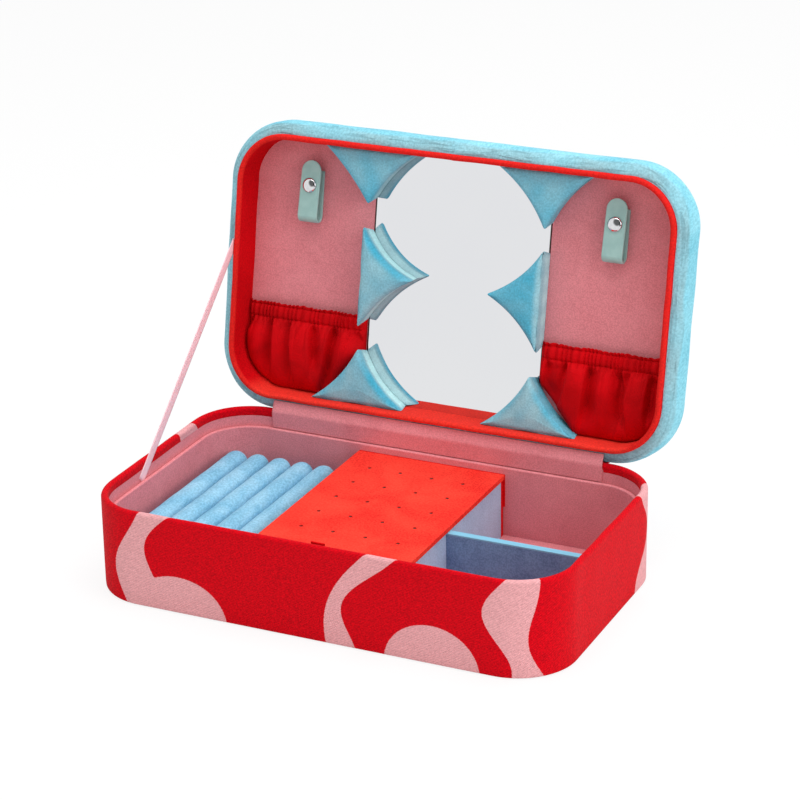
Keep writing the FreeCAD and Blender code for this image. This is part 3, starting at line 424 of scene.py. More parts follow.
@dataclass(frozen=True)
class Nap:
    """Brushed cloth: suede, velvet or plush, with a pile that lies lighter and darker in patches.

    Highlight above is a height, in millimetres, above which a standing edge is painted in the highlight
    colour, as its lit top.
    Pile and light is a colour for the places that the mesh marks above zero: partly pile brushed the other
    way, partly painted light, as painted shade on the plush's rim face and a painted highlight on the
    collar's bead.
    Standing pile sheen is a painted sheen for the places that it marks below zero, where the pile stands up
    and looks pale.
    Creased cloth has fine wrinkles in the marked places, along its UV and this many millimetres deep, and
    painted shade darkens them.
    """

    name: str
    light: Colour
    dark: Colour
    fibre: float = 1000.0
    patch: float = 45.0
    depth: float = 0.12
    streak: float = 1.0
    sheen: float = 0.2
    contrast: float = 0.3
    grain: float = 0.26
    specular: float = 0.12
    crest: float | None = None
    crest_colour: Colour = WHITE
    pile_and_light: Colour | None = None
    raised: Colour | None = None
    creased: float = 0.0

    def material(self) -> Material:
        """Patches of laid pile under specks of single tufts, both in colour and in height."""
        tree = Tree(self.name)
        lay = tree.mapped("Object", "Scale", (1.0, self.streak, 1.0))
        patch = tree.span(tree.noise(self.patch, 4, 0.6, lay), 0.5 - self.contrast, 0.5 + self.contrast)
        tuft = tree.noise(self.fibre, 3, 0.2, lay)
        fibre = tree.noise(self.fibre * 2.7, 2)
        bright = tuple(min(255.0, 1.06 * c + 4) for c in self.light)
        speck = tree.mix(tree.span(tuft, 0.33, 0.67), dimmed(self.dark, 0.78), bright)
        colour = tree.mix(self.grain, tree.mix(patch, self.dark, self.light), speck)
        # Painted highlight: above a height the colour turns to the highlight colour, as a lit top edge.
        if self.crest is not None:
            edge = tree.span(tree.axis("Z"), (self.crest - 0.5) * MM, (self.crest + 0.1) * MM)
            colour = tree.mix(edge, colour, self.crest_colour)
        # Partly pile laid the other way, partly painted light: painted shade on the plush's rim face, a
        # painted highlight on the collar, and painted shade on the pads.
        if self.pile_and_light is not None:
            other = tree.mix(tree.span(tuft, 0.3, 0.7), dimmed(self.pile_and_light, 0.88), self.pile_and_light)
            colour = tree.mix(tree.attribute("pile_and_light"), colour, other)
        # Painted sheen: where the mesh marks below zero, a pale colour stands in for light off standing pile.
        if self.raised is not None:
            pale = tree.mix(tree.span(tuft, 0.3, 0.7), dimmed(self.raised, 0.94), self.raised)
            standing = tree.span(tree.attribute("pile_and_light"), -1.0, 0.0, 1.0, 0.0)
            colour = tree.mix(standing, colour, pale)
        lumps = tree.bump(tuft, self.depth, 0.7)
        if self.creased:
            along = tree.mapped("UV", "Scale", (34.0, 260.0, 1.0))
            wrinkle = tree.span(tree.noise(1.0, 3, 1.3, along), 0.34, 0.50)
            where = tree.mix(tree.attribute("pile_and_light"), WHITE, wrinkle)
            # Painted shade: the wrinkles are darkened in colour.
            dent = tree.mix(where, (196, 204, 208), WHITE)
            colour = tree.mix(0.6, colour, dent, "MULTIPLY")
            lumps = tree.bump(where, self.creased, 0.8, lumps)
        tree.feed("Base Color", colour)
        tree.feed("Normal", tree.bump(fibre, self.depth * 0.5, 0.7, lumps))
        tree.set(Roughness=0.92, Sheen_Weight=self.sheen, Sheen_Roughness=0.45,
                 Specular_IOR_Level=self.specular, Sheen_Tint=linear(self.light))
        return tree.material


@dataclass(frozen=True)
class TwoColourTwill:
    """The outer cloth: a twill whose second colour fills the shapes marked on the mesh."""

    name: str = "two_colour_twill"
    ground: Colour = (224, 2, 22)
    shape: Colour = (238, 172, 175)
    slant: float = math.radians(58)

    def material(self) -> Material:
        """Twill lines and slubs under both colours; the edge between them wanders by a thread."""
        tree = Tree(self.name)
        ragged = tree.nodes.new("ShaderNodeMath")
        ragged.operation = "MULTIPLY_ADD"
        ragged.inputs[1].default_value = 0.7
        tree.links.new(tree.noise(1500, 2), ragged.inputs[0])
        tree.links.new(tree.attribute("design"), ragged.inputs[2])
        mask = tree.span(ragged.outputs[0], 0.15, 0.55)
        slub = tree.noise(820, 3)
        twill = tree.wave(250, tree.mapped("UV", "Rotation", (0, 0, self.slant)), "X", 1.5)
        tone = tree.span(slub, 0.25, 0.75)
        ground = tree.mix(tone, dimmed(self.ground, 0.82), self.ground)
        shape = tree.mix(tone, dimmed(self.shape, 0.90), self.shape)
        cloth = tree.mix(mask, ground, shape)
        line = tree.mix(tree.span(twill, 0.2, 0.8), (226, 226, 226), WHITE)
        tree.feed("Base Color", tree.mix(0.38, cloth, line, "MULTIPLY"))
        tree.feed("Normal", tree.bump(slub, 0.2, 0.7, tree.bump(twill, 0.14, 0.7)))
        tree.set(Roughness=0.92, Sheen_Weight=0.04, Sheen_Roughness=0.5, Specular_IOR_Level=0.06)
        return tree.material


@dataclass(frozen=True)
class Woven:
    """Plain woven cloth or ribbon, with threads both ways along the piece's own UV."""

    name: str
    light: Colour
    dark: Colour
    threads: float = 330.0
    depth: float = 0.08
    rough: float = 0.75
    sheen: float = 0.08

    def material(self) -> Material:
        """Ribs across and along, a little uneven, and slow changes of tone."""
        tree = Tree(self.name)
        uv = tree.place.outputs["UV"]
        across, along = (tree.wave(self.threads, uv, direction, 0.8) for direction in "XY")
        patch = tree.span(tree.noise(70, 3, 0.5), 0.3, 0.7)
        tree.feed("Base Color", tree.mix(patch, self.dark, self.light))
        tree.feed("Normal", tree.bump(along, self.depth, 0.5, tree.bump(across, self.depth, 0.5)))
        tree.set(Roughness=self.rough, Sheen_Weight=self.sheen, Sheen_Roughness=0.4, Specular_IOR_Level=0.1,
                 Sheen_Tint=linear(self.light))
        return tree.material


@dataclass(frozen=True)
class Leather:
    """Smooth dyed leather with a fine pebble grain and slow changes of tone."""

    name: str = "mint_leather"
    light: Colour = (158, 196, 190)
    dark: Colour = (148, 187, 182)

    def material(self) -> Material:
        """Cells of grain pressed into the surface, with slow changes of tone and gloss."""
        tree = Tree(self.name)
        grain = tree.nodes.new("ShaderNodeTexVoronoi")
        grain.feature = "DISTANCE_TO_EDGE"
        grain.inputs["Scale"].default_value = 1500
        tree.links.new(tree.place.outputs["Object"], grain.inputs["Vector"])
        patch = tree.span(tree.noise(160, 3), 0.3, 0.7)
        tree.feed("Base Color", tree.mix(patch, self.dark, self.light))
        tree.feed("Normal", tree.bump(tree.span(grain.outputs["Distance"], 0.0, 0.25), 0.03, 0.6))
        tree.feed("Roughness", tree.span(patch, 0.0, 1.0, 0.52, 0.42))
        tree.set(Specular_IOR_Level=0.4)
        return tree.material


@dataclass(frozen=True)
class Hard:
    """A hard finish: board, foam, polished metal or silvered glass, with a little unevenness.

    Border is how far from the middle, left and right and in millimetres, a dark edge begins: the glass's
    ground edge, and a painted shadow line where the glass meets the panels.
    """

    name: str
    light: Colour
    dark: Colour
    rough: float
    metal: float = 0.0
    specks: float = 300.0
    dent: float = 0.0
    border: float | None = None
    border_colour: Colour = (66, 52, 50)

    def material(self) -> Material:
        """Faint specks of tone and gloss, and a shallow unevenness where it has one."""
        tree = Tree(self.name)
        speck = tree.noise(self.specks, 4)
        colour = tree.mix(tree.span(speck, 0.3, 0.7), self.dark, self.light)
        # Painted shadow, partly: a dark edge at the glass's sides stands for its ground edge and for the
        # shadow line along the panels.
        if self.border is not None:
            aside = tree.nodes.new("ShaderNodeMath")
            aside.operation = "ABSOLUTE"
            tree.links.new(tree.axis("X"), aside.inputs[0])
            ground = tree.span(aside.outputs[0], (self.border - 0.1) * MM, (self.border + 0.1) * MM)
            colour = tree.mix(ground, colour, self.border_colour)
        tree.feed("Base Color", colour)
        tree.feed("Roughness", tree.span(speck, 0.3, 0.7, self.rough * 0.9, self.rough * 1.1))
        if self.dent:
            tree.feed("Normal", tree.bump(speck, self.dent, 0.5))
        tree.set(Metallic=self.metal)
        return tree.material


@dataclass
class Finishes:
    """Every material of the box, made once."""

    twill: Material = field(default_factory=TwoColourTwill().material)
    pink_suede: Material = field(default_factory=Nap(
        "pink_suede", (231, 147, 153), (214, 126, 133), fibre=1300, contrast=0.4, sheen=0.1).material)
    red_suede: Material = field(default_factory=Nap(
        "red_suede", (230, 18, 23), (204, 4, 13), patch=38, sheen=0.03, contrast=0.35, depth=0.07,
        specular=0.06, grain=0.3).material)
    # A darker copy of the red suede, as the collar's shaded wall looks, with a painted highlight on its bead
    # and hinge side.
    collar_suede_painted_light: Material = field(default_factory=Nap(
        "collar_suede_painted_light", (214, 8, 20), (190, 2, 12), patch=38, sheen=0.03, contrast=0.35, depth=0.07,
        specular=0.06, grain=0.3, pile_and_light=(247, 60, 48)).material)
    # A lighter copy of the red suede: painted light on the flap's top, which faces up.
    flap_suede_painted_light: Material = field(default_factory=Nap(
        "flap_suede_painted_light", (247, 72, 55), (228, 39, 34), fibre=900, patch=34, sheen=0.04, contrast=0.26,
        depth=0.07, specular=0.06, grain=0.35).material)
    velvet: Material = field(default_factory=Nap(
        "blue_velvet", (154, 203, 227), (110, 174, 206), patch=70, depth=0.2, sheen=0.25, contrast=0.25,
        streak=0.6, grain=0.28).material)
    # The pads' marked colour is partly pile laid the other way and partly painted shade; the pale colour is a
    # painted sheen of standing pile.
    pad_velvet: Material = field(default_factory=Nap(
        "pad_velvet", (158, 207, 217), (136, 190, 203), patch=80, depth=0.2, sheen=0.3, streak=0.6,
        pile_and_light=(74, 180, 210), raised=(204, 252, 254)).material)
    # A paler, bluer copy of the blue velvet, tinted to the periwinkle look that shade gives the partition:
    # painted shade.
    partition_velvet_painted_shade: Material = field(default_factory=Nap(
        "partition_velvet_painted_shade", (184, 214, 240), (160, 192, 222), patch=60, depth=0.15, sheen=0.1,
        grain=0.25).material)
    # A darker copy of the blue velvet: painted shade on the divider's front, and a painted highlight along
    # its top edge.
    divider_velvet_painted_light: Material = field(default_factory=Nap(
        "divider_velvet_painted_light", (120, 160, 200), (94, 129, 170), patch=60, depth=0.2, sheen=0.05, grain=0.3,
        crest=37.4, crest_colour=(128, 188, 214)).material)
    # The grey-blue marked colour is the rim face: partly pile laid the other way, partly painted shade; its
    # wrinkles get painted shade too.
    plush: Material = field(default_factory=Nap(
        "blue_plush", (150, 213, 228), (106, 186, 207), fibre=850, patch=60, depth=0.4, sheen=0.35,
        contrast=0.24, streak=0.45, grain=0.28, pile_and_light=(150, 194, 204), creased=0.45).material)
    red_cloth: Material = field(default_factory=Woven("red_cloth", (206, 0, 12), (182, 0, 8)).material)
    ribbon: Material = field(default_factory=Woven(
        "pink_ribbon", (251, 211, 217), (248, 207, 213), threads=1600, depth=0.02, sheen=0.2,
        rough=0.6).material)
    leather: Material = field(default_factory=Leather().material)
    chrome: Material = field(default_factory=Hard(
        "polished_snap", (222, 222, 224), (214, 214, 217), 0.07, metal=1.0, specks=500).material)
    # The mirror's dark sides are partly its ground edge and partly a painted shadow line.
    mirror: Material = field(default_factory=Hard(
        "silvered_glass", (227, 228, 230), (225, 226, 229), 0.012, metal=1.0, specks=8, border=54.3).material)
    board: Material = field(default_factory=Hard(
        "grey_board", (112, 106, 102), (84, 80, 78), 0.9, specks=700, dent=0.08).material)
    foam: Material = field(default_factory=Hard(
        "foam", (232, 226, 206), (214, 206, 184), 0.95, specks=1100, dent=0.15).material)


def dress(finish: Material, *names: str) -> None:
    """Puts a finish on solids whose own shape is kept."""
    for name in names:
        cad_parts[name].material_slots[0].material = finish
        LOG.info("dressed %s", name)


def place(piece: Piece, finish: Material, slot: str, body: str, *nodes: str) -> None:
    """Gives a new piece its finish and body, and hides the solids that it stands for.

    Args:
        piece: the new piece.
        finish: its material.
        slot: the record's material slot; not used.
        body: the body that it moves with, or an empty word for one that spans two and is attached to neither.
        nodes: the solids that it replaces.
    """
    piece.data.materials.clear()
    piece.data.materials.append(finish)
    if nodes:
        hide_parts(*nodes)
    if body:
        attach(piece, body)
    LOG.info("built %s", piece.name)


@dataclass
class Base:
    """The lower half: its wrapped wall and the rolls that stand on its floor."""

    top: float = 56.2
    bottom: float = 0.3
    rim: float = 2.0
    turn_in: float = 51.0
    foot: float = 1.6
    tucked_under: tuple[float, float] = (7.0, 4.0)
    around: int = 560
    design_seed: int = 4
    bands: int = 7
    hills: int = 5
    rolls_count: int = 5
    roll_radius: float = 7.1
    wave_radius: float = 7.0
    roll_half: float = 68.25
    roll_end: float = 6.0
    roll_pitch: float = 14.4
    first_roll: float = -120.5
    roll_middle: float = 26.4

    def design(self, along: np.ndarray, up: np.ndarray) -> np.ndarray:
        """How far inside a pale shape of the cloth's design a point is, in millimetres.

        Pale bands climb the wall at uneven steps, each leaning and swaying like tall grass, and round pale
        hills rise from the foot of the wall between them.

        Args:
            along: length round the box.
            up: length up the cloth.

        Returns:
            Above 0 inside a pale shape and below 0 outside.
        """
        line = BOX_OUTLINE
        length = 4 * (line.half_x + line.half_y) - (8 - TURN) * line.radius
        rng = np.random.default_rng(self.design_seed)
        bands, hills = self.bands, self.hills

        def away(centres: np.ndarray) -> np.ndarray:
            """Length round the box from each centre, the short way."""
            return (along[..., None] - centres + length / 2) % length - length / 2

        rise = up[..., None]
        centre = length * (np.arange(bands) + rng.uniform(-0.24, 0.24, bands)) / bands
        half = rng.uniform(5.5, 11.0, bands)
        reach = rng.uniform(4.0, 9.0, bands)
        sway = reach * np.sin(TURN * (rise / rng.uniform(52, 84, bands) + rng.uniform(0, 1, bands)))
        lean = rng.uniform(-0.45, 0.45, bands) * (rise - 34)
        swell = 1 + 0.35 * np.sin(TURN * (rise / 58 + rng.uniform(0, 1, bands)))
        band = (half * swell - np.abs(away(centre) - sway - lean)).max(axis=-1)
        centre = length * (np.arange(hills) + 0.5 + rng.uniform(-0.3, 0.3, hills)) / hills
        wide, tall = rng.uniform(16, 30, hills), rng.uniform(18, 34, hills)
        hill = ((1 - np.hypot(away(centre) / wide, (rise - 4) / tall)) * tall).max(axis=-1)
        return np.maximum(band, hill)

    def cover(self, finish: Material) -> None:
        """The outer cloth: a profile that runs from under the wall, up, over the rolled rim and down inside.

        The profile is carried round the box's outline, and the cloth is a little uneven.
        """
        radius, lap = self.rim, 0.3
        foot = np.linspace(-math.pi / 2, 0, 8)
        roll = np.linspace(0, math.pi, 22)
        inset = np.concatenate([
            self.tucked_under, self.foot * (1 - np.cos(foot)), np.zeros(34), radius * (1 - np.cos(roll)),
            np.full(6, 2 * radius), [2 * radius - 0.5]])
        height = np.concatenate([
            [self.bottom, self.bottom], self.bottom + self.foot * (1 + np.sin(foot)),
            np.linspace(self.bottom + self.foot, self.top - radius, 36)[1:-1],
            self.top - radius + radius * np.sin(roll),
            np.linspace(self.top - radius, self.turn_in + lap, 7)[1:], [self.turn_in]])
        wall = Wall(inset, height, self.around)
        along, climb = wall.lengths()
        standing = np.arange(len(inset))[:, None] >= len(self.tucked_under) + len(foot)
        uneven = 0.10 * ripple(along, climb, 3, 7, 24, 70)
        grid = wall.grid(np.where(standing, uneven, 0))
        piece = grid_piece("cover_wrap", grid, wrap=True, values={"design": self.design(along, climb)})
        place(piece, finish, "cover_cloth", "base", "base_cover")

    def rolls(self, finish: Material) -> None:
        """Stuffed rolls: a circle carried along y that closes in a rounded end, with a soft, uneven skin."""
        half, end, least = self.roll_half, self.roll_end, 0.15
        angle = np.linspace(0, TURN, 40, endpoint=False)
        bow = np.linspace(0, math.pi / 2, 9)
        close = bow[::-1][1:]
        y = np.concatenate([-half + end * (1 - np.cos(bow[:-1])), np.linspace(end - half, half - end, 70),
                            half - end * (1 - np.cos(close))])
        share = np.concatenate([
            least + (1 - least) * np.sin(bow[:-1]), np.ones(70), least + (1 - least) * np.sin(close)])
        turn, along = np.meshgrid(angle, y)
        for number in range(self.rolls_count):
            uneven = 0.018 * ripple(turn * self.wave_radius, along, 20 + number, 6, 14, 40)
            size = self.roll_radius * share[:, None] * (1 + uneven)
            x = self.first_roll + self.roll_pitch * number + size * np.cos(turn)
            grid = np.stack([x, along, self.roll_middle + size * np.sin(turn)], axis=-1)
            piece = grid_piece(f"stuffed_roll_{number + 1}", grid, wrap=True, caps=(True, True), flip=True)
            plump(piece, voxel=1.8, pressure=3.0, most=0.35)
            place(piece, finish, "blue_velvet", "base", f"ring_roll_{number + 1}")


@dataclass(frozen=True)
class Pad:
    """A velvet pad with a straight side, two sides that bow inwards and a tip, as its maker cut it.

    Spot is the middle of its straight side on the shut lid and turn is where it points. Tip is the tip's
    place from there, and hollows is how far the right and left sides bow in. Tones say how far the pile is
    brushed the other way, from 0 to 1: on the face, at the tip, and on the straight, right and left edges;
    they also carry painted shade, for the sides that are darker in the light. Walls say it for the three
    walls below those edges, where less than 0 is pile that stands up and gets a painted sheen.
    """

    name: str
    spot: tuple[float, float]
    turn: float
    tip: tuple[float, float]
    hollows: tuple[float, float]
    tones: tuple[float, float, float, float, float]
    walls: tuple[float, float, float]
    half: float = 28.5
    thick: float = 15.4
    edge: float = 3.0
    count: int = 52

    def outline(self) -> np.ndarray:
        """The pad seen from the front: straight lines plus bows, with the three corners eased.

        Returns:
            Points counter-clockwise, with the straight side on y = 0 and the tip upwards.
        """
        t = np.linspace(0, 1, self.count, endpoint=False)
        ends = np.array([[-self.half, 0.0], [self.half, 0.0], self.tip, [-self.half, 0.0]])
        sides = []
        for start, end, hollow in zip(ends[:-1], ends[1:], (0.0, *self.hollows)):
            run = (end - start) / np.linalg.norm(end - start)
            inwards = np.array([-run[1], run[0]])
            sides.append(start + t[:, None] * (end - start) + (4 * hollow * t * (1 - t))[:, None] * inwards)
        line = np.concatenate(sides)
        return eased(np.concatenate([line[-2:], line, line[:2]]), 5)

    def round_tones(self, tones: tuple[float, ...]) -> np.ndarray:
        """One tone for each side, spread over the outline's points and softened at the corners."""
        line = np.repeat(tones, self.count)
        return np.convolve(np.concatenate([line[-4:], line, line[:4]]), np.full(9, 1 / 9), "valid")

    def build(self) -> Piece:
        """The outline raised from the panel: walls that lean out, a rolled edge and a crowned face.

        The edge's height is a quarter circle of the distance to the outline, so the thin tips come out lower.
        The foot is drawn in a little, which leaves a dark line where the pad meets the mirror.

        Returns:
            The closed pad, with its pile's tones on the mesh, painted shade and painted sheen among them.
        """
        outline = self.outline()
        middle = np.array([0.25 * self.tip[0], 9.5])
        low, high, foot, crown = 0.95, 1.05, 0.8, 0.7
        side = self.thick - self.edge
        under = low * np.array([0.04, 0.5, 0.85])
        lift = np.concatenate([[0, 0.35, foot], np.linspace(1.5, side, 7)])
        tuck = 0.06 * np.clip(1 - lift / foot, 0, 1) ** 2
        face = np.array([0.985, 0.965, 0.94, 0.91, 0.87, 0.82, 0.76, 0.69, 0.61, 0.52, 0.42, 0.31, 0.2,
                         0.1, 0.04])
        share = np.concatenate([under, low + (high - low) * lift / side - tuck, high * face])
        body = middle + (outline - middle)[None] * share[:, None, None]
        body[..., 1] = np.maximum(body[..., 1], 0.0)
        brim = len(under) + len(lift) - 1
        away = np.linalg.norm(body[brim:, :, None] - body[brim][None, None], axis=-1).min(axis=-1)
        roll = np.sqrt(np.maximum(self.edge ** 2 - np.maximum(self.edge - away, 0) ** 2, 0))
        rise = np.zeros(body.shape[:2])
        rise[len(under):brim] = lift[:-1, None]
        rise[brim:] = side + roll + crown * smooth_step(away, 1.0, 9.0)
        of_face, of_tip, *of_edges = self.tones
        # Tones are partly pile direction and partly painted light: painted shade where they run high, painted
        # sheen below zero.
        edges, walls = self.round_tones(of_edges), self.round_tones(self.walls)
        high_up = smooth_step(rise, 0.55 * side, 0.98 * side)
        tone = walls + (edges - walls) * high_up
        tone[brim:] += (of_face - tone[brim:]) * smooth_step(away, 0.6, 4.5)
        near = np.exp(-(np.linalg.norm(body - np.array(self.tip), axis=-1) / 10.0) ** 2)
        tone += (of_tip - tone) * near * high_up
        x, y = body[..., 0], body[..., 1]
        tone += 0.10 * ripple(x, y, len(self.name), 6, 8, 30)
        c, s = math.cos(self.turn), math.sin(self.turn)
        grid = np.stack([self.spot[0] + c * x - s * y, self.spot[1] + s * x + c * y, PANEL - rise], axis=-1)
        return grid_piece(f"pad_{self.name}", swung_open(grid), wrap=True, caps=(True, True), flip=True,
                          values={"pile_and_light": np.clip(tone, -1, 1)})


@dataclass
class Lid:
    """The upper half, swung open: plush shell, collar and pads."""

    rim_plane: float = 56.7
    top: float = 84.7
    bulge: float = 2.5
    rim_round: float = 7.0
    top_round: float = 11.5
    crown: float = 1.2
    collar_out: float = 4.5
    collar_in: float = 7.8
    collar_edge: float = 53.5
    around: int = 620
    mirror_pads: tuple[Pad, ...] = (
        Pad("top_left", (-54.0, -74.85), 0.0, (0.0, 31.0), (3.0, 1.4), (0.45, 0.95, 0.4, 0.45, 0.6),
            (0.4, -0.2, 0.6)),
        Pad("top_right", (54.0, -74.85), 0.0, (1.6, 32.6), (3.0, 3.0), (0.45, 0.75, 0.4, 0.6, 0.6),
            (0.4, 0.6, 0.6)),
        Pad("bottom_left", (-54.0, 74.85), math.pi, (0.8, 31.6), (3.0, 3.6), (0.22, 0.3, 0.4, 0.5, 0.95),
            (0.4, 0.5, -0.75)),
        Pad("bottom_right", (54.0, 74.85), math.pi, (0.8, 31.0), (3.0, 3.4), (0.08, 0.15, 0.3, 0.4, 0.75),
            (0.3, 0.4, 0.75)),
        Pad("side_left", (-56.0, 0.0), -math.pi / 2, (1.6, 31.6), (4.2, 3.4), (0.18, 0.7, 0.2, 0.95, 0.1),
            (0.2, -0.65, -0.6)),
        Pad("side_right", (56.0, 0.0), math.pi / 2, (-0.6, 31.6), (3.2, 3.2), (0.85, 0.95, 0.0, 0.7, 0.7),
            (-0.5, 0.7, 0.7)),
    )

    def shell(self, finish: Material) -> None:
        """The plush skin: a rounded wall profile carried round the outline and closed over a crowned top.

        Creases gather on the rim face and fade up the wall, and the rim face is marked for a grey-blue tone:
        partly pile brushed the other way, partly painted shade.
        """
        rim = np.linspace(-math.pi / 2, 0, 14)
        roof = np.linspace(0, math.pi / 2, 18)
        outer, foot, eaves = -self.bulge, self.rim_plane + self.rim_round, self.top - self.top_round
        inset = np.concatenate([
            [4.4, 4.2], outer + self.rim_round * (1 - np.cos(rim)), np.full(8, outer),
            outer + self.top_round * (1 - np.cos(roof))])
        height = np.concatenate([
            [self.rim_plane + 4.0, self.rim_plane + 0.6], self.rim_plane + self.rim_round * (1 + np.sin(rim)),
            np.linspace(foot, eaves, 10)[1:-1], self.top - self.top_round * (1 - np.sin(roof))])
        profile = Wall(inset, height, self.around)
        along, climb = profile.lengths()
        face = smooth_step(climb, 3.0, 6.0) * (1 - smooth_step(climb, 16.0, 30.0))
        crease = np.maximum(ripple(along, 17.0 * climb, 11, 9, 50, 130), 0) ** 1.5
        soft = ripple(along, climb, 12, 8, 28, 90)
        gather = smooth_step(ripple(along, climb, 13, 5, 60, 160), -0.4, 0.6)
        puff = 0.10 * soft + 0.55 * face * (crease - 0.5) * (0.25 + 0.75 * gather)
        wall = profile.grid(puff * smooth_step(climb, 4.0, 7.0), 0.4 * puff * face)
        share = (1 - np.linspace(0, 1, 30)[1:-1] ** 0.9)[:, None, None]
        rise = np.broadcast_to(self.top + self.crown * (1 - share ** 2), (len(share), self.around, 1))
        flat = np.concatenate([wall[-1][None, :, :2] * share, rise], axis=-1)
        flat[..., 2] += 0.25 * ripple(flat[..., 0], flat[..., 1], 14, 7, 25, 80)
        grid = swung_open(np.concatenate([wall, flat]))
        # Marks the rim face for the grey-blue tone: partly pile laid the other way, partly painted shade.
        pile_and_light = np.zeros(grid.shape[:2])
        turned = 1 - smooth_step(climb + 1.2 * soft, 10.5, 13.5)
        pile_and_light[:len(wall)] = np.clip(turned * (0.75 + 0.25 * soft), 0, 1)
        piece = grid_piece("plush_shell", grid, wrap=True, caps=(False, True), values={"pile_and_light": pile_and_light})
        place(piece, finish, "plush", "lid", "lid_cover")

    def collar(self, finish: Material) -> None:
        """The suede collar: its inner wall comes down from the panel, rolls over a bead and goes up outside.

        The profile is carried round the outline. A painted highlight, a lighter red, lies on the bead and on
        the hinge side.
        """
        bead = (self.collar_in - self.collar_out) / 2
        roll = np.linspace(math.pi, 0, 20)
        middle = self.collar_edge + bead
        inset = np.concatenate([
            np.full(14, self.collar_out), self.collar_out + bead * (1 + np.cos(roll)),
            np.full(30, self.collar_in)])
        height = np.concatenate([
            np.linspace(self.rim_plane + 6.0, middle, 15)[:-1], middle - bead * np.sin(roll),
            np.linspace(middle, PANEL, 31)[1:]])
        wall = Wall(inset, height, self.around)
        along, climb = wall.lengths()
        uneven = 0.10 * ripple(along, climb, 15, 7, 20, 60)
        grid = wall.grid(uneven)
        # Painted highlight: the bead and the hinge side are marked for the lighter red.
        over = smooth_step(-np.abs(grid[..., 2] - self.collar_edge), -2.6, -1.2)
        backwards = BOX_OUTLINE.walk(self.around)[1][None, :, 1]
        hinge_side = smooth_step(np.broadcast_to(backwards, over.shape), 0.75, 0.98)
        pile_and_light = np.clip(np.maximum(0.38 * over, 0.9 * hinge_side) + 0.12 * uneven, 0, 1)
        piece = grid_piece("collar_wrap", swung_open(grid), wrap=True, flip=True, values={"pile_and_light": pile_and_light})
        place(piece, finish, "red_suede", "lid", "lid_collar")

    def pads(self, finish: Material) -> None:
        """Six pads of foam under velvet, crowned by their own formula to keep their thin tips crisp."""
        for pad in self.mirror_pads:
            piece = pad.build()
            place(piece, finish, "blue_velvet", "lid", f"point_{pad.name}")


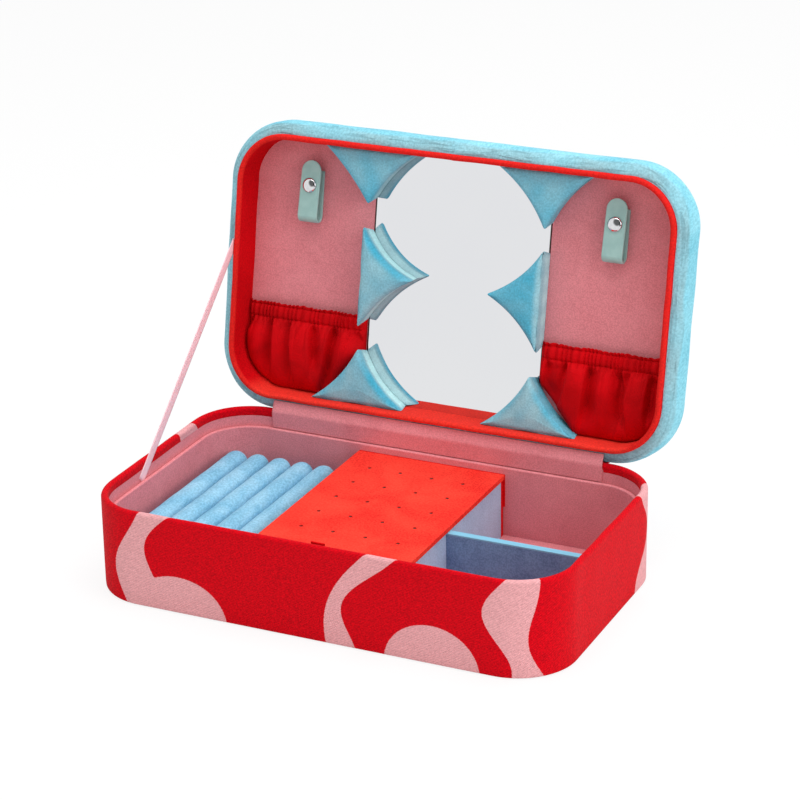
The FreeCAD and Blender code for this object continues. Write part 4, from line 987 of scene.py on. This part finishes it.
@dataclass
class Pocket:
    """A gathered pocket low on a lid panel, with a shirred elastic casing at its mouth.

    Inner and outer are its sides' distances from the box's middle, mouth and foot its y with the lid shut.
    Pad foot is the place of the velvet pad that lies over its lower inner corner.
    """

    side: Side
    seed: int
    inner: float = 55.6
    outer: float = 132.1
    mouth: float = 23.95
    foot: float = 74.85
    corner: float = 26.2
    deep: float = 8.2
    shallow: float = 3.6
    hem: float = 1.8
    casing: float = 9.0
    pad_foot: tuple[float, float] = (55.0, 46.0)
    pad_reach: tuple[float, float] = (27.5, 31.0)

    def build(self, finish: Material) -> None:
        """Cloth that stands off the panel, tucked back at its sides and foot.

        Its depth is a flattened dome plus small puffed gathers under the casing, less the folds that hang
        from there, and fine pleats in the casing itself.
        """
        seed, name, sign = self.seed, self.side.label, self.side.value
        rng = np.random.default_rng(seed)
        share = np.linspace(0, 1, 260)
        across = self.inner + (self.outer - self.inner) * share
        bend = np.clip(across - (self.outer - self.corner), 0, self.corner)
        curve = self.foot - self.corner + np.sqrt(np.maximum(self.corner ** 2 - bend ** 2, 0))
        beside = np.clip((across - self.pad_foot[0]) / self.pad_reach[0], 0, None)
        foot = np.minimum(curve, self.pad_foot[1] + self.pad_reach[1] * beside ** 1.15 + 2.6)
        u, v = np.meshgrid(share, np.linspace(0, 1, 110))
        y = self.mouth + v * (foot - self.mouth)
        below = y - self.mouth
        edge = np.clip(1 - np.abs(2 * u - 1) ** 14, 0, 1) ** 0.5
        tuck = np.clip(1 - np.maximum((below - 12) / (foot - self.mouth - 12), 0) ** 4, 0, 1) ** 0.5
        stand = self.shallow + (self.deep - self.shallow) * smooth_step(below, 4.0, 24.0)
        slid = u + 0.05 * v * np.sin(5.0 * u + seed) - 0.02 * np.sin(3.0 * v + seed)

        def gathers(count: int, spread: float) -> np.ndarray:
            """Puffed rows between sharp creases at uneven steps: an arc between each two creases."""
            shift = np.concatenate([[0], rng.uniform(-spread, spread, count - 1), [0]])
            lines = (np.arange(count + 1) + shift) / count
            lines[0], lines[-1] = -0.15, 1.15
            at = np.clip(np.searchsorted(lines, slid) - 1, 0, count - 1)
            gap = lines[at + 1] - lines[at]
            t = np.clip((slid - lines[at]) / gap, 0, 1)
            return (4 * t * (1 - t)) ** 0.55 * np.minimum(gap * count, 1.5)

        def folds(count: int) -> np.ndarray:
            """Folds that hang from the casing: grooves that drift, widen and fade, steep on one side."""
            top = (np.arange(count) + 0.5 + rng.uniform(-0.30, 0.30, count)) / count
            drift, bow = rng.uniform(-0.16, 0.16, count), rng.uniform(-0.12, 0.12, count)
            length, depth = rng.uniform(0.9, 1.7, count), rng.uniform(0.6, 1.0, count)
            steep = rng.choice((-1.0, 1.0), count)
            fall = v[..., None]
            gap = u[..., None] - top - drift * fall - bow * fall ** 2
            wide = (0.024 + 0.022 * fall) * np.where(gap * steep > 0, 0.40, 2.1)
            fade = 1 - smooth_step(fall / length, 0.55, 1.0)
            return np.minimum((depth * np.exp(-(gap / wide) ** 2) * fade).sum(axis=-1), 1.1)

        start = smooth_step(below, self.casing - 1.0, self.casing + 5.0)
        fine = gathers(12, 0.36) * start * np.exp(-((below - self.casing) / 13.0) ** 2)
        roll = 1.3 * fine + start * (4.4 - 8.0 * folds(6))
        pleat_at = 25 * u + 0.5 * np.sin(9 * u + seed) + 0.3 * np.sin(31 * u)
        sideways = np.sin(TURN * pleat_at)
        band = 1 - smooth_step(below, self.casing, self.casing + 5)
        pleat = 1.5 * np.abs(np.sin(math.pi * pleat_at)) * band
        puff = 0.9 * np.sin(math.pi * np.clip((below - self.hem) / (self.casing - self.hem), 0, 1)) * band
        seams = np.exp(-((below - self.hem) / 0.6) ** 2) + np.exp(-((below - self.casing) / 0.7) ** 2)
        depth = np.maximum((stand - 2.6 * start + roll + pleat + puff - 0.9 * seams) * edge * tuck, 0.3)
        frill = (0.3 * sideways + 0.3 * np.sin(23 * u + seed)) * (1 - smooth_step(below, 0.0, 2.5))
        x = across[None] + 0.25 * sideways * band * edge
        grid = swung_open(np.stack([sign * x, y + frill * edge, PANEL - depth], axis=-1))
        piece = grid_piece(f"gathered_pocket_{name}", grid, flip=sign < 0)
        area = mesh_area(piece)
        thicken(piece, 0.5)
        place(piece, finish, "red_cloth", "lid", f"pocket_{name}", f"pocket_elastic_{name}")


@dataclass
class Strap:
    """A leather strap on a lid panel: it runs down the panel, folds up in front and closes with a snap."""

    side: Side
    centre: float = 95.0
    width: float = 12.5
    thick: float = 1.4
    fold_y: float = -30.9
    loop: float = 4.4
    leaf: float = 32.0
    tip_drop: float = 2.98
    leaf_start: float = -31.2
    snap_reach: float = 17.5
    snap_radius: float = 4.3
    snap_rise: float = 2.1
    snap_rim: float = 0.45

    def slab(self, name: str, line: np.ndarray, half: np.ndarray) -> Piece:
        """A strap of even thickness: a rounded cross-section carried along a line in the y-z plane.

        Args:
            name: the piece's name.
            line: the strap's middle line, as y and z.
            half: half the width at each point of the line.

        Returns:
            The closed piece.
        """
        step = np.gradient(line, axis=0)
        step /= np.linalg.norm(step, axis=1, keepdims=True)
        normal = np.stack([-step[:, 1], step[:, 0]], axis=-1)
        angle = np.linspace(0, TURN, 48, endpoint=False)
        wide = np.sign(np.cos(angle)) * np.abs(np.cos(angle)) ** 0.22
        tall = np.sign(np.sin(angle)) * np.abs(np.sin(angle)) ** 0.5
        x = self.side.value * self.centre + half[:, None] * wide
        lift = 0.5 * self.thick * tall
        y = line[:, :1] + normal[:, :1] * lift
        z = line[:, 1:] + normal[:, 1:] * lift
        return grid_piece(name, swung_open(np.stack([x, y, z], axis=-1)), wrap=True, caps=(True, True))

    def build(self, finish: Material, metal: Material) -> None:
        """The fold against the panel, the front leaf with its rounded end, and the snap on it."""
        name, end = self.side.label, self.width / 2
        mid = self.loop - self.thick / 2
        bend = np.linspace(math.pi / 2, -math.pi / 2, 26)
        up = np.stack([np.linspace(self.fold_y - self.leaf + 6, self.fold_y, 20)[:-1],
                       np.full(19, PANEL - self.thick / 2)], axis=-1)
        turn = np.stack([self.fold_y + mid * np.cos(bend), PANEL - self.loop + mid * np.sin(bend)], axis=-1)
        line = np.concatenate([up, turn])
        back = self.slab(f"strap_fold_{name}", line, np.full(len(line), end))
        place(back, finish, "mint_leather", "lid", f"strap_back_{name}")
        straight = self.leaf - end
        along = np.concatenate([np.linspace(-0.8, straight, 24)[:-1],
                                straight + end * np.sin(np.linspace(0, 1.5, 22))])
        tilt = math.atan2(self.tip_drop, self.leaf)
        face = PANEL - 2 * self.loop + self.thick / 2
        line = np.stack([self.leaf_start - along * math.cos(tilt), face + along * math.sin(tilt)], axis=-1)
        over = np.clip(along - straight, 0, end)
        half = np.sqrt(np.maximum(end ** 2 - over ** 2, 0.04))
        leaf = self.slab(f"strap_front_{name}", line, half)
        place(leaf, finish, "mint_leather", f"strap_{name}", f"strap_leaf_{name}")
        self.snap(metal, face - self.thick / 2, tilt)

    def snap(self, metal: Material, face: float, tilt: float) -> None:
        """The snap's cap: a shallow dome turned about its axis, on a short upright rim.

        Args:
            metal: its finish.
            face: height of the leaf's outer face at the fold.
            tilt: the leaf's slope, in radians.
        """
        name, edge, rim = self.side.label, self.snap_radius, self.snap_rim
        bow = np.linspace(math.pi / 2, 0.03, 22)
        size = np.concatenate([[edge * 0.97, edge], edge * np.sin(bow)])
        rise = np.concatenate([[-0.05, 0.15], rim + (self.snap_rise - rim) * np.cos(bow)])
        turn = np.linspace(0, TURN, 56, endpoint=False)
        x = self.side.value * self.centre + size[:, None] * np.cos(turn)
        along = self.snap_reach + size[:, None] * np.sin(turn)
        up = np.broadcast_to(rise[:, None], along.shape)
        c, s = math.cos(tilt), math.sin(tilt)
        y = self.leaf_start - along * c - up * s
        z = face + along * s - up * c
        grid = swung_open(np.stack([x, y, z], axis=-1))
        cap = grid_piece(f"snap_dome_{name}", grid, wrap=True, caps=(True, True))
        place(cap, metal, "snap_metal", f"strap_{name}", f"snap_cap_{name}")


@dataclass
class Cloths:
    """The cloth that crosses the hinge: two strips and a ribbon that holds the lid.

    The strips' lines are their corners as y and z. The ribbon runs from its foot on the base to its head on
    the shut lid.
    """

    half: float = 104.0
    inner_line: Line = ((78.15, 45.3), (78.15, 55.25), (79.1, 57.1), (81.12, 61.58))
    outer_line: Line = ((83.35, 38.2), (83.35, 52.02), (85.35, 53.64), (95.13, 51.78))
    ribbon_x: float = -135.8
    ribbon_foot: tuple[float, float] = (-22.0, 45.3)
    ribbon_head: tuple[float, float] = (-12.1, 56.4)
    ribbon_width: float = 6.0

    def strip(self, name: str, line: Line, seed: int) -> Piece:
        """A strip of cloth: a line with its corners eased, carried across the box, and a little wavy.

        Args:
            name: the piece's name.
            line: the line's corners as y and z.
            seed: picks the waves.

        Returns:
            The sheet.
        """
        corners = np.array(line)
        run = walked(corners)
        walk = np.linspace(0, run[-1], 60)
        even = np.stack([np.interp(walk, run, corners[:, k]) for k in (0, 1)], axis=-1)
        bent = eased(np.pad(even, ((5, 5), (0, 0)), mode="edge"), 11)
        x, along = np.meshgrid(np.linspace(-self.half, self.half, 240), walk)
        wavy = 0.12 * ripple(x, along, seed, 6, 18, 60) * np.sin(math.pi * along / run[-1])
        z = np.broadcast_to(bent[:, 1:], x.shape)
        piece = grid_piece(name, np.stack([x, bent[:, :1] - wavy, z], axis=-1))
        length = mesh_area(piece) / (2 * self.half * MM)
        thicken(piece, 0.6)
        return piece

    def build(self, finishes: Finishes) -> None:
        """The inner and outer hinge strips and the stay ribbon, each bending from the base to the lid."""
        inner = self.strip("hinge_strip_inner", self.inner_line, 31)
        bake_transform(inner)
        place(inner, finishes.pink_suede, "pink_suede", "", "hinge_inner")
        outer = self.strip("hinge_strip_outer", self.outer_line, 32)
        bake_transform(outer)
        place(outer, finishes.red_suede, "red_suede", "", "hinge_outer")
        self.ribbon(finishes.ribbon)

    def ribbon(self, finish: Material) -> None:
        """The flat stay ribbon: a straight line from the base's side to the lid's, with a width."""
        foot = np.array(self.ribbon_foot)
        head = swung_open(np.array([[0, *self.ribbon_head]]))[0, 1:]
        share = np.linspace(0, 1, 60)
        line = foot + share[:, None] * (head - foot)
        length = float(np.linalg.norm(head - foot))
        along = (head - foot) / length
        across = np.array([-along[1], along[0]])
        side = np.linspace(-self.ribbon_width / 2, self.ribbon_width / 2, 9)
        spot = line[:, None] + side[None, :, None] * across
        bow = self.ribbon_x + 0.05 * np.cos(math.pi * side / self.ribbon_width)
        x = np.broadcast_to(bow[None], spot.shape[:2])
        piece = grid_piece("stay_ribbon_cloth", np.concatenate([x[..., None], spot], axis=-1))
        thicken(piece, 0.3)
        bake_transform(piece)
        place(piece, finish, "pink_ribbon", "", "stay_ribbon")


@dataclass
class Tab:
    """The small ribbon loop that lifts the earring flap."""

    width: float = 8.0
    low: float = 41.1
    high: float = 52.1
    y: float = -69.65
    loop: float = 0.33
    cloth: float = 0.45

    def build(self, finish: Material) -> None:
        """A loop of ribbon: up, over a tight round top and down again, carried across its width."""
        turn = np.linspace(math.pi, 0, 16)
        bend = self.high - self.cloth
        rise = np.linspace(self.low, bend, 14)
        y = np.concatenate([np.full(14, -self.loop), self.loop * np.cos(turn), np.full(14, self.loop)])
        z = np.concatenate([rise, bend + self.loop * np.sin(turn), rise[::-1]])
        x, row_y = np.meshgrid(np.linspace(-self.width / 2, self.width / 2, 24), y)
        z = np.broadcast_to(z[:, None], x.shape)
        lean = 0.10 * ripple(x, z, 41, 4, 5, 14) * np.clip((z - self.low) / 6, 0, 1)
        piece = grid_piece("lift_tab", np.stack([x, self.y + row_y + lean, z], axis=-1), flip=True)
        flat = mesh_area(piece) / (self.width * MM)
        thicken(piece, self.cloth)
        place(piece, finish, "red_cloth", "pull_tab", "pull_tab")


def put(name: str, data: bpy.types.ID, axes: np.ndarray, spot: np.ndarray) -> Piece:
    """Puts a camera or lamp in the scene.

    Args:
        name: its name.
        data: the camera or lamp.
        axes: its right, up and back directions, as rows.
        spot: where it stands, in metres.

    Returns:
        The object that holds it.
    """
    holder = bpy.data.objects.new(name, data)
    matrix = np.eye(4)
    matrix[:3, :3] = axes.T
    matrix[:3, 3] = spot
    holder.matrix_world = Matrix(matrix.tolist())
    bpy.context.scene.collection.objects.link(holder)
    return holder


@dataclass
class Studio:
    """Floor, light and camera."""

    yaw: float = 0.4422
    pitch: float = 0.3825
    roll: float = -0.0155
    distance: float = 1577.678
    target: Colour = (-19.2548, 75.6146, 76.6846)
    focal_pixels: float = 2747.17
    pixels: int = 800
    sensor: float = 36.0
    sky: float = 0.60
    lamp_aim: Colour = (0.0, 0.0, 0.05)
    dim_ways: tuple[Colour, ...] = ((0.76, -0.60, 0.22), (0.05, -0.83, 0.55))

    def camera(self) -> None:
        """A camera on a sphere about the target, turned by yaw, pitch and roll."""
        level = math.cos(self.pitch)
        forward = np.array([-math.sin(self.yaw) * level, math.cos(self.yaw) * level, -math.sin(self.pitch)])
        right = np.array([math.cos(self.yaw), math.sin(self.yaw), 0.0])
        up = np.cross(right, forward)
        c, s = math.cos(self.roll), math.sin(self.roll)
        data = bpy.data.cameras.new("camera")
        data.sensor_width = self.sensor
        data.lens = self.focal_pixels / self.pixels * self.sensor
        data.clip_end = 50
        axes = np.stack([c * right + s * up, -s * right + c * up, -forward])
        spot = (np.array(self.target) - forward * self.distance) * MM
        bpy.context.scene.camera = put("camera", data, axes, spot)

    def lamp(self, name: str, spot: Colour, size: float, power: float) -> None:
        """A soft square lamp that faces the box.

        Args:
            name: the lamp's name.
            spot: where it stands, in metres.
            size: its side, in metres.
            power: its power in watts.
        """
        data = bpy.data.lights.new(name, "AREA")
        data.size = size
        data.energy = power
        back = np.array(spot) - np.array(self.lamp_aim)
        back = back / np.linalg.norm(back)
        right = np.cross([0.0, 0.001, 1.0], back)
        right = right / np.linalg.norm(right)
        put(name, data, np.stack([right, np.cross(back, right), back]), np.array(spot))

    def combine(self, tree: bpy.types.NodeTree, operation: str, first: Socket, second: Socket) -> Socket:
        """Two values combined by one operation; a difference is kept between 0 and 1."""
        node = tree.nodes.new("ShaderNodeMath")
        node.operation = operation
        node.use_clamp = operation == "SUBTRACT"
        tree.links.new(first, node.inputs[0])
        tree.links.new(second, node.inputs[1])
        return node.outputs[0]

    def ranged(self, tree: bpy.types.NodeTree, source: Socket, **ends: float) -> Socket:
        """Stretches one range of values evenly to another; ends that aren't given are 0 and 1."""
        node = tree.nodes.new("ShaderNodeMapRange")
        for key, value in ends.items():
            node.inputs[key.replace("_", " ")].default_value = value
        tree.links.new(source, node.inputs["Value"])
        return node.outputs["Result"]

    def seen_white(self, tree: bpy.types.NodeTree) -> Socket:
        """1 where a ray comes from the camera or from a gloss or glass surface, and else 0."""
        rays = tree.nodes.new("ShaderNodeLightPath").outputs
        direct = self.combine(tree, "MAXIMUM", rays["Is Camera Ray"], rays["Is Glossy Ray"])
        return self.combine(tree, "MAXIMUM", direct, rays["Is Transmission Ray"])

    def world(self) -> None:
        """An even pale sky that lights at one level and is seen as white, with two dim patches for metal."""
        world = bpy.data.worlds.new("studio")
        bpy.context.scene.world = world
        world.use_nodes = True
        tree = world.node_tree
        strength = self.ranged(tree, self.seen_white(tree), To_Min=self.sky, To_Max=1.0)
        rays = tree.nodes.new("ShaderNodeLightPath")
        heading = tree.nodes.new("ShaderNodeTexCoord")
        for way in self.dim_ways:
            reach = tree.nodes.new("ShaderNodeVectorMath")
            reach.operation = "DOT_PRODUCT"
            reach.inputs[1].default_value = way
            tree.links.new(heading.outputs["Generated"], reach.inputs[0])
            patch = self.ranged(tree, reach.outputs["Value"], From_Min=0.84, From_Max=0.92, To_Max=0.85)
            glossy = self.combine(tree, "MULTIPLY", patch, rays.outputs["Is Glossy Ray"])
            strength = self.combine(tree, "SUBTRACT", strength, glossy)
        tree.links.new(strength, tree.nodes["Background"].inputs["Strength"])
        tree.nodes["Background"].inputs["Color"].default_value = (1, 1, 1, 1)

    def floor(self) -> None:
        """A wide pale floor that is seen as white but keeps a soft shadow."""
        side = np.linspace(-6000, 6000, 5)
        x, y = np.meshgrid(side, side)
        piece = grid_piece("floor", np.stack([x, y, np.zeros_like(x)], axis=-1))
        material = bpy.data.materials.new("floor")
        material.use_nodes = True
        tree = material.node_tree
        shader = tree.nodes["Principled BSDF"]
        shader.inputs["Base Color"].default_value = (0.93, 0.93, 0.93, 1)
        shader.inputs["Roughness"].default_value = 0.9
        shader.inputs["Specular IOR Level"].default_value = 0.1
        glow = tree.nodes.new("ShaderNodeEmission")
        blend = tree.nodes.new("ShaderNodeMixShader")
        rays = tree.nodes.new("ShaderNodeLightPath")
        share = self.ranged(tree, rays.outputs["Is Camera Ray"], To_Min=1.0, To_Max=0.86)
        seen = self.combine(tree, "MULTIPLY", share, self.seen_white(tree))
        tree.links.new(seen, blend.inputs["Fac"])
        tree.links.new(shader.outputs[0], blend.inputs[1])
        tree.links.new(glow.outputs[0], blend.inputs[2])
        tree.links.new(blend.outputs[0], tree.nodes["Material Output"].inputs["Surface"])
        piece.data.materials.append(material)

    def build(self) -> None:
        """Floor, sky, two soft lamps and the camera."""
        self.floor()
        self.world()
        self.lamp("top", (0.15, 0.05, 1.5), 1.2, 18.0)
        self.lamp("right", (1.55, -0.45, 0.8), 0.9, 8.5)
        self.camera()
        bpy.context.scene.view_settings.view_transform = "Standard"


def main() -> None:
    """Builds the box's looks piece by piece."""
    logging.basicConfig(level=logging.INFO, format="%(name)s: %(message)s")
    finishes = Finishes()
    dress(finishes.pink_suede, "base_band", "base_liner", "floor_liner", "bottom_sheet", "lid_panel_left",
          "lid_panel_right")
    dress(finishes.red_suede, "partition_left", "flap_spine", "flap_tape", "flap_lining")
    dress(finishes.flap_suede_painted_light, "flap_cover")
    dress(finishes.velvet, "ring_tray")
    dress(finishes.partition_velvet_painted_shade, "partition_right")
    dress(finishes.divider_velvet_painted_light, "cross_divider")
    dress(finishes.board, "base_wall", "floor_board", "lid_wall", "lid_board", "flap_core", "mirror_backing")
    dress(finishes.foam, "lid_foam")
    dress(finishes.mirror, "mirror_glass")
    for side in Side:
        dress(finishes.chrome, f"snap_socket_{side.label}", f"snap_stud_{side.label}")
    base = Base()
    base.cover(finishes.twill)
    base.rolls(finishes.velvet)
    lid = Lid()
    lid.shell(finishes.plush)
    lid.collar(finishes.collar_suede_painted_light)
    lid.pads(finishes.pad_velvet)
    for side, seed in ((Side.LEFT, 5), (Side.RIGHT, 8)):
        Pocket(side, seed).build(finishes.red_cloth)
        Strap(side).build(finishes.leather, finishes.chrome)
    Cloths().build(finishes)
    Tab().build(finishes.red_suede)
    Studio().build()
    bpy.context.view_layer.update()


if __name__ == "__main__":
    main()
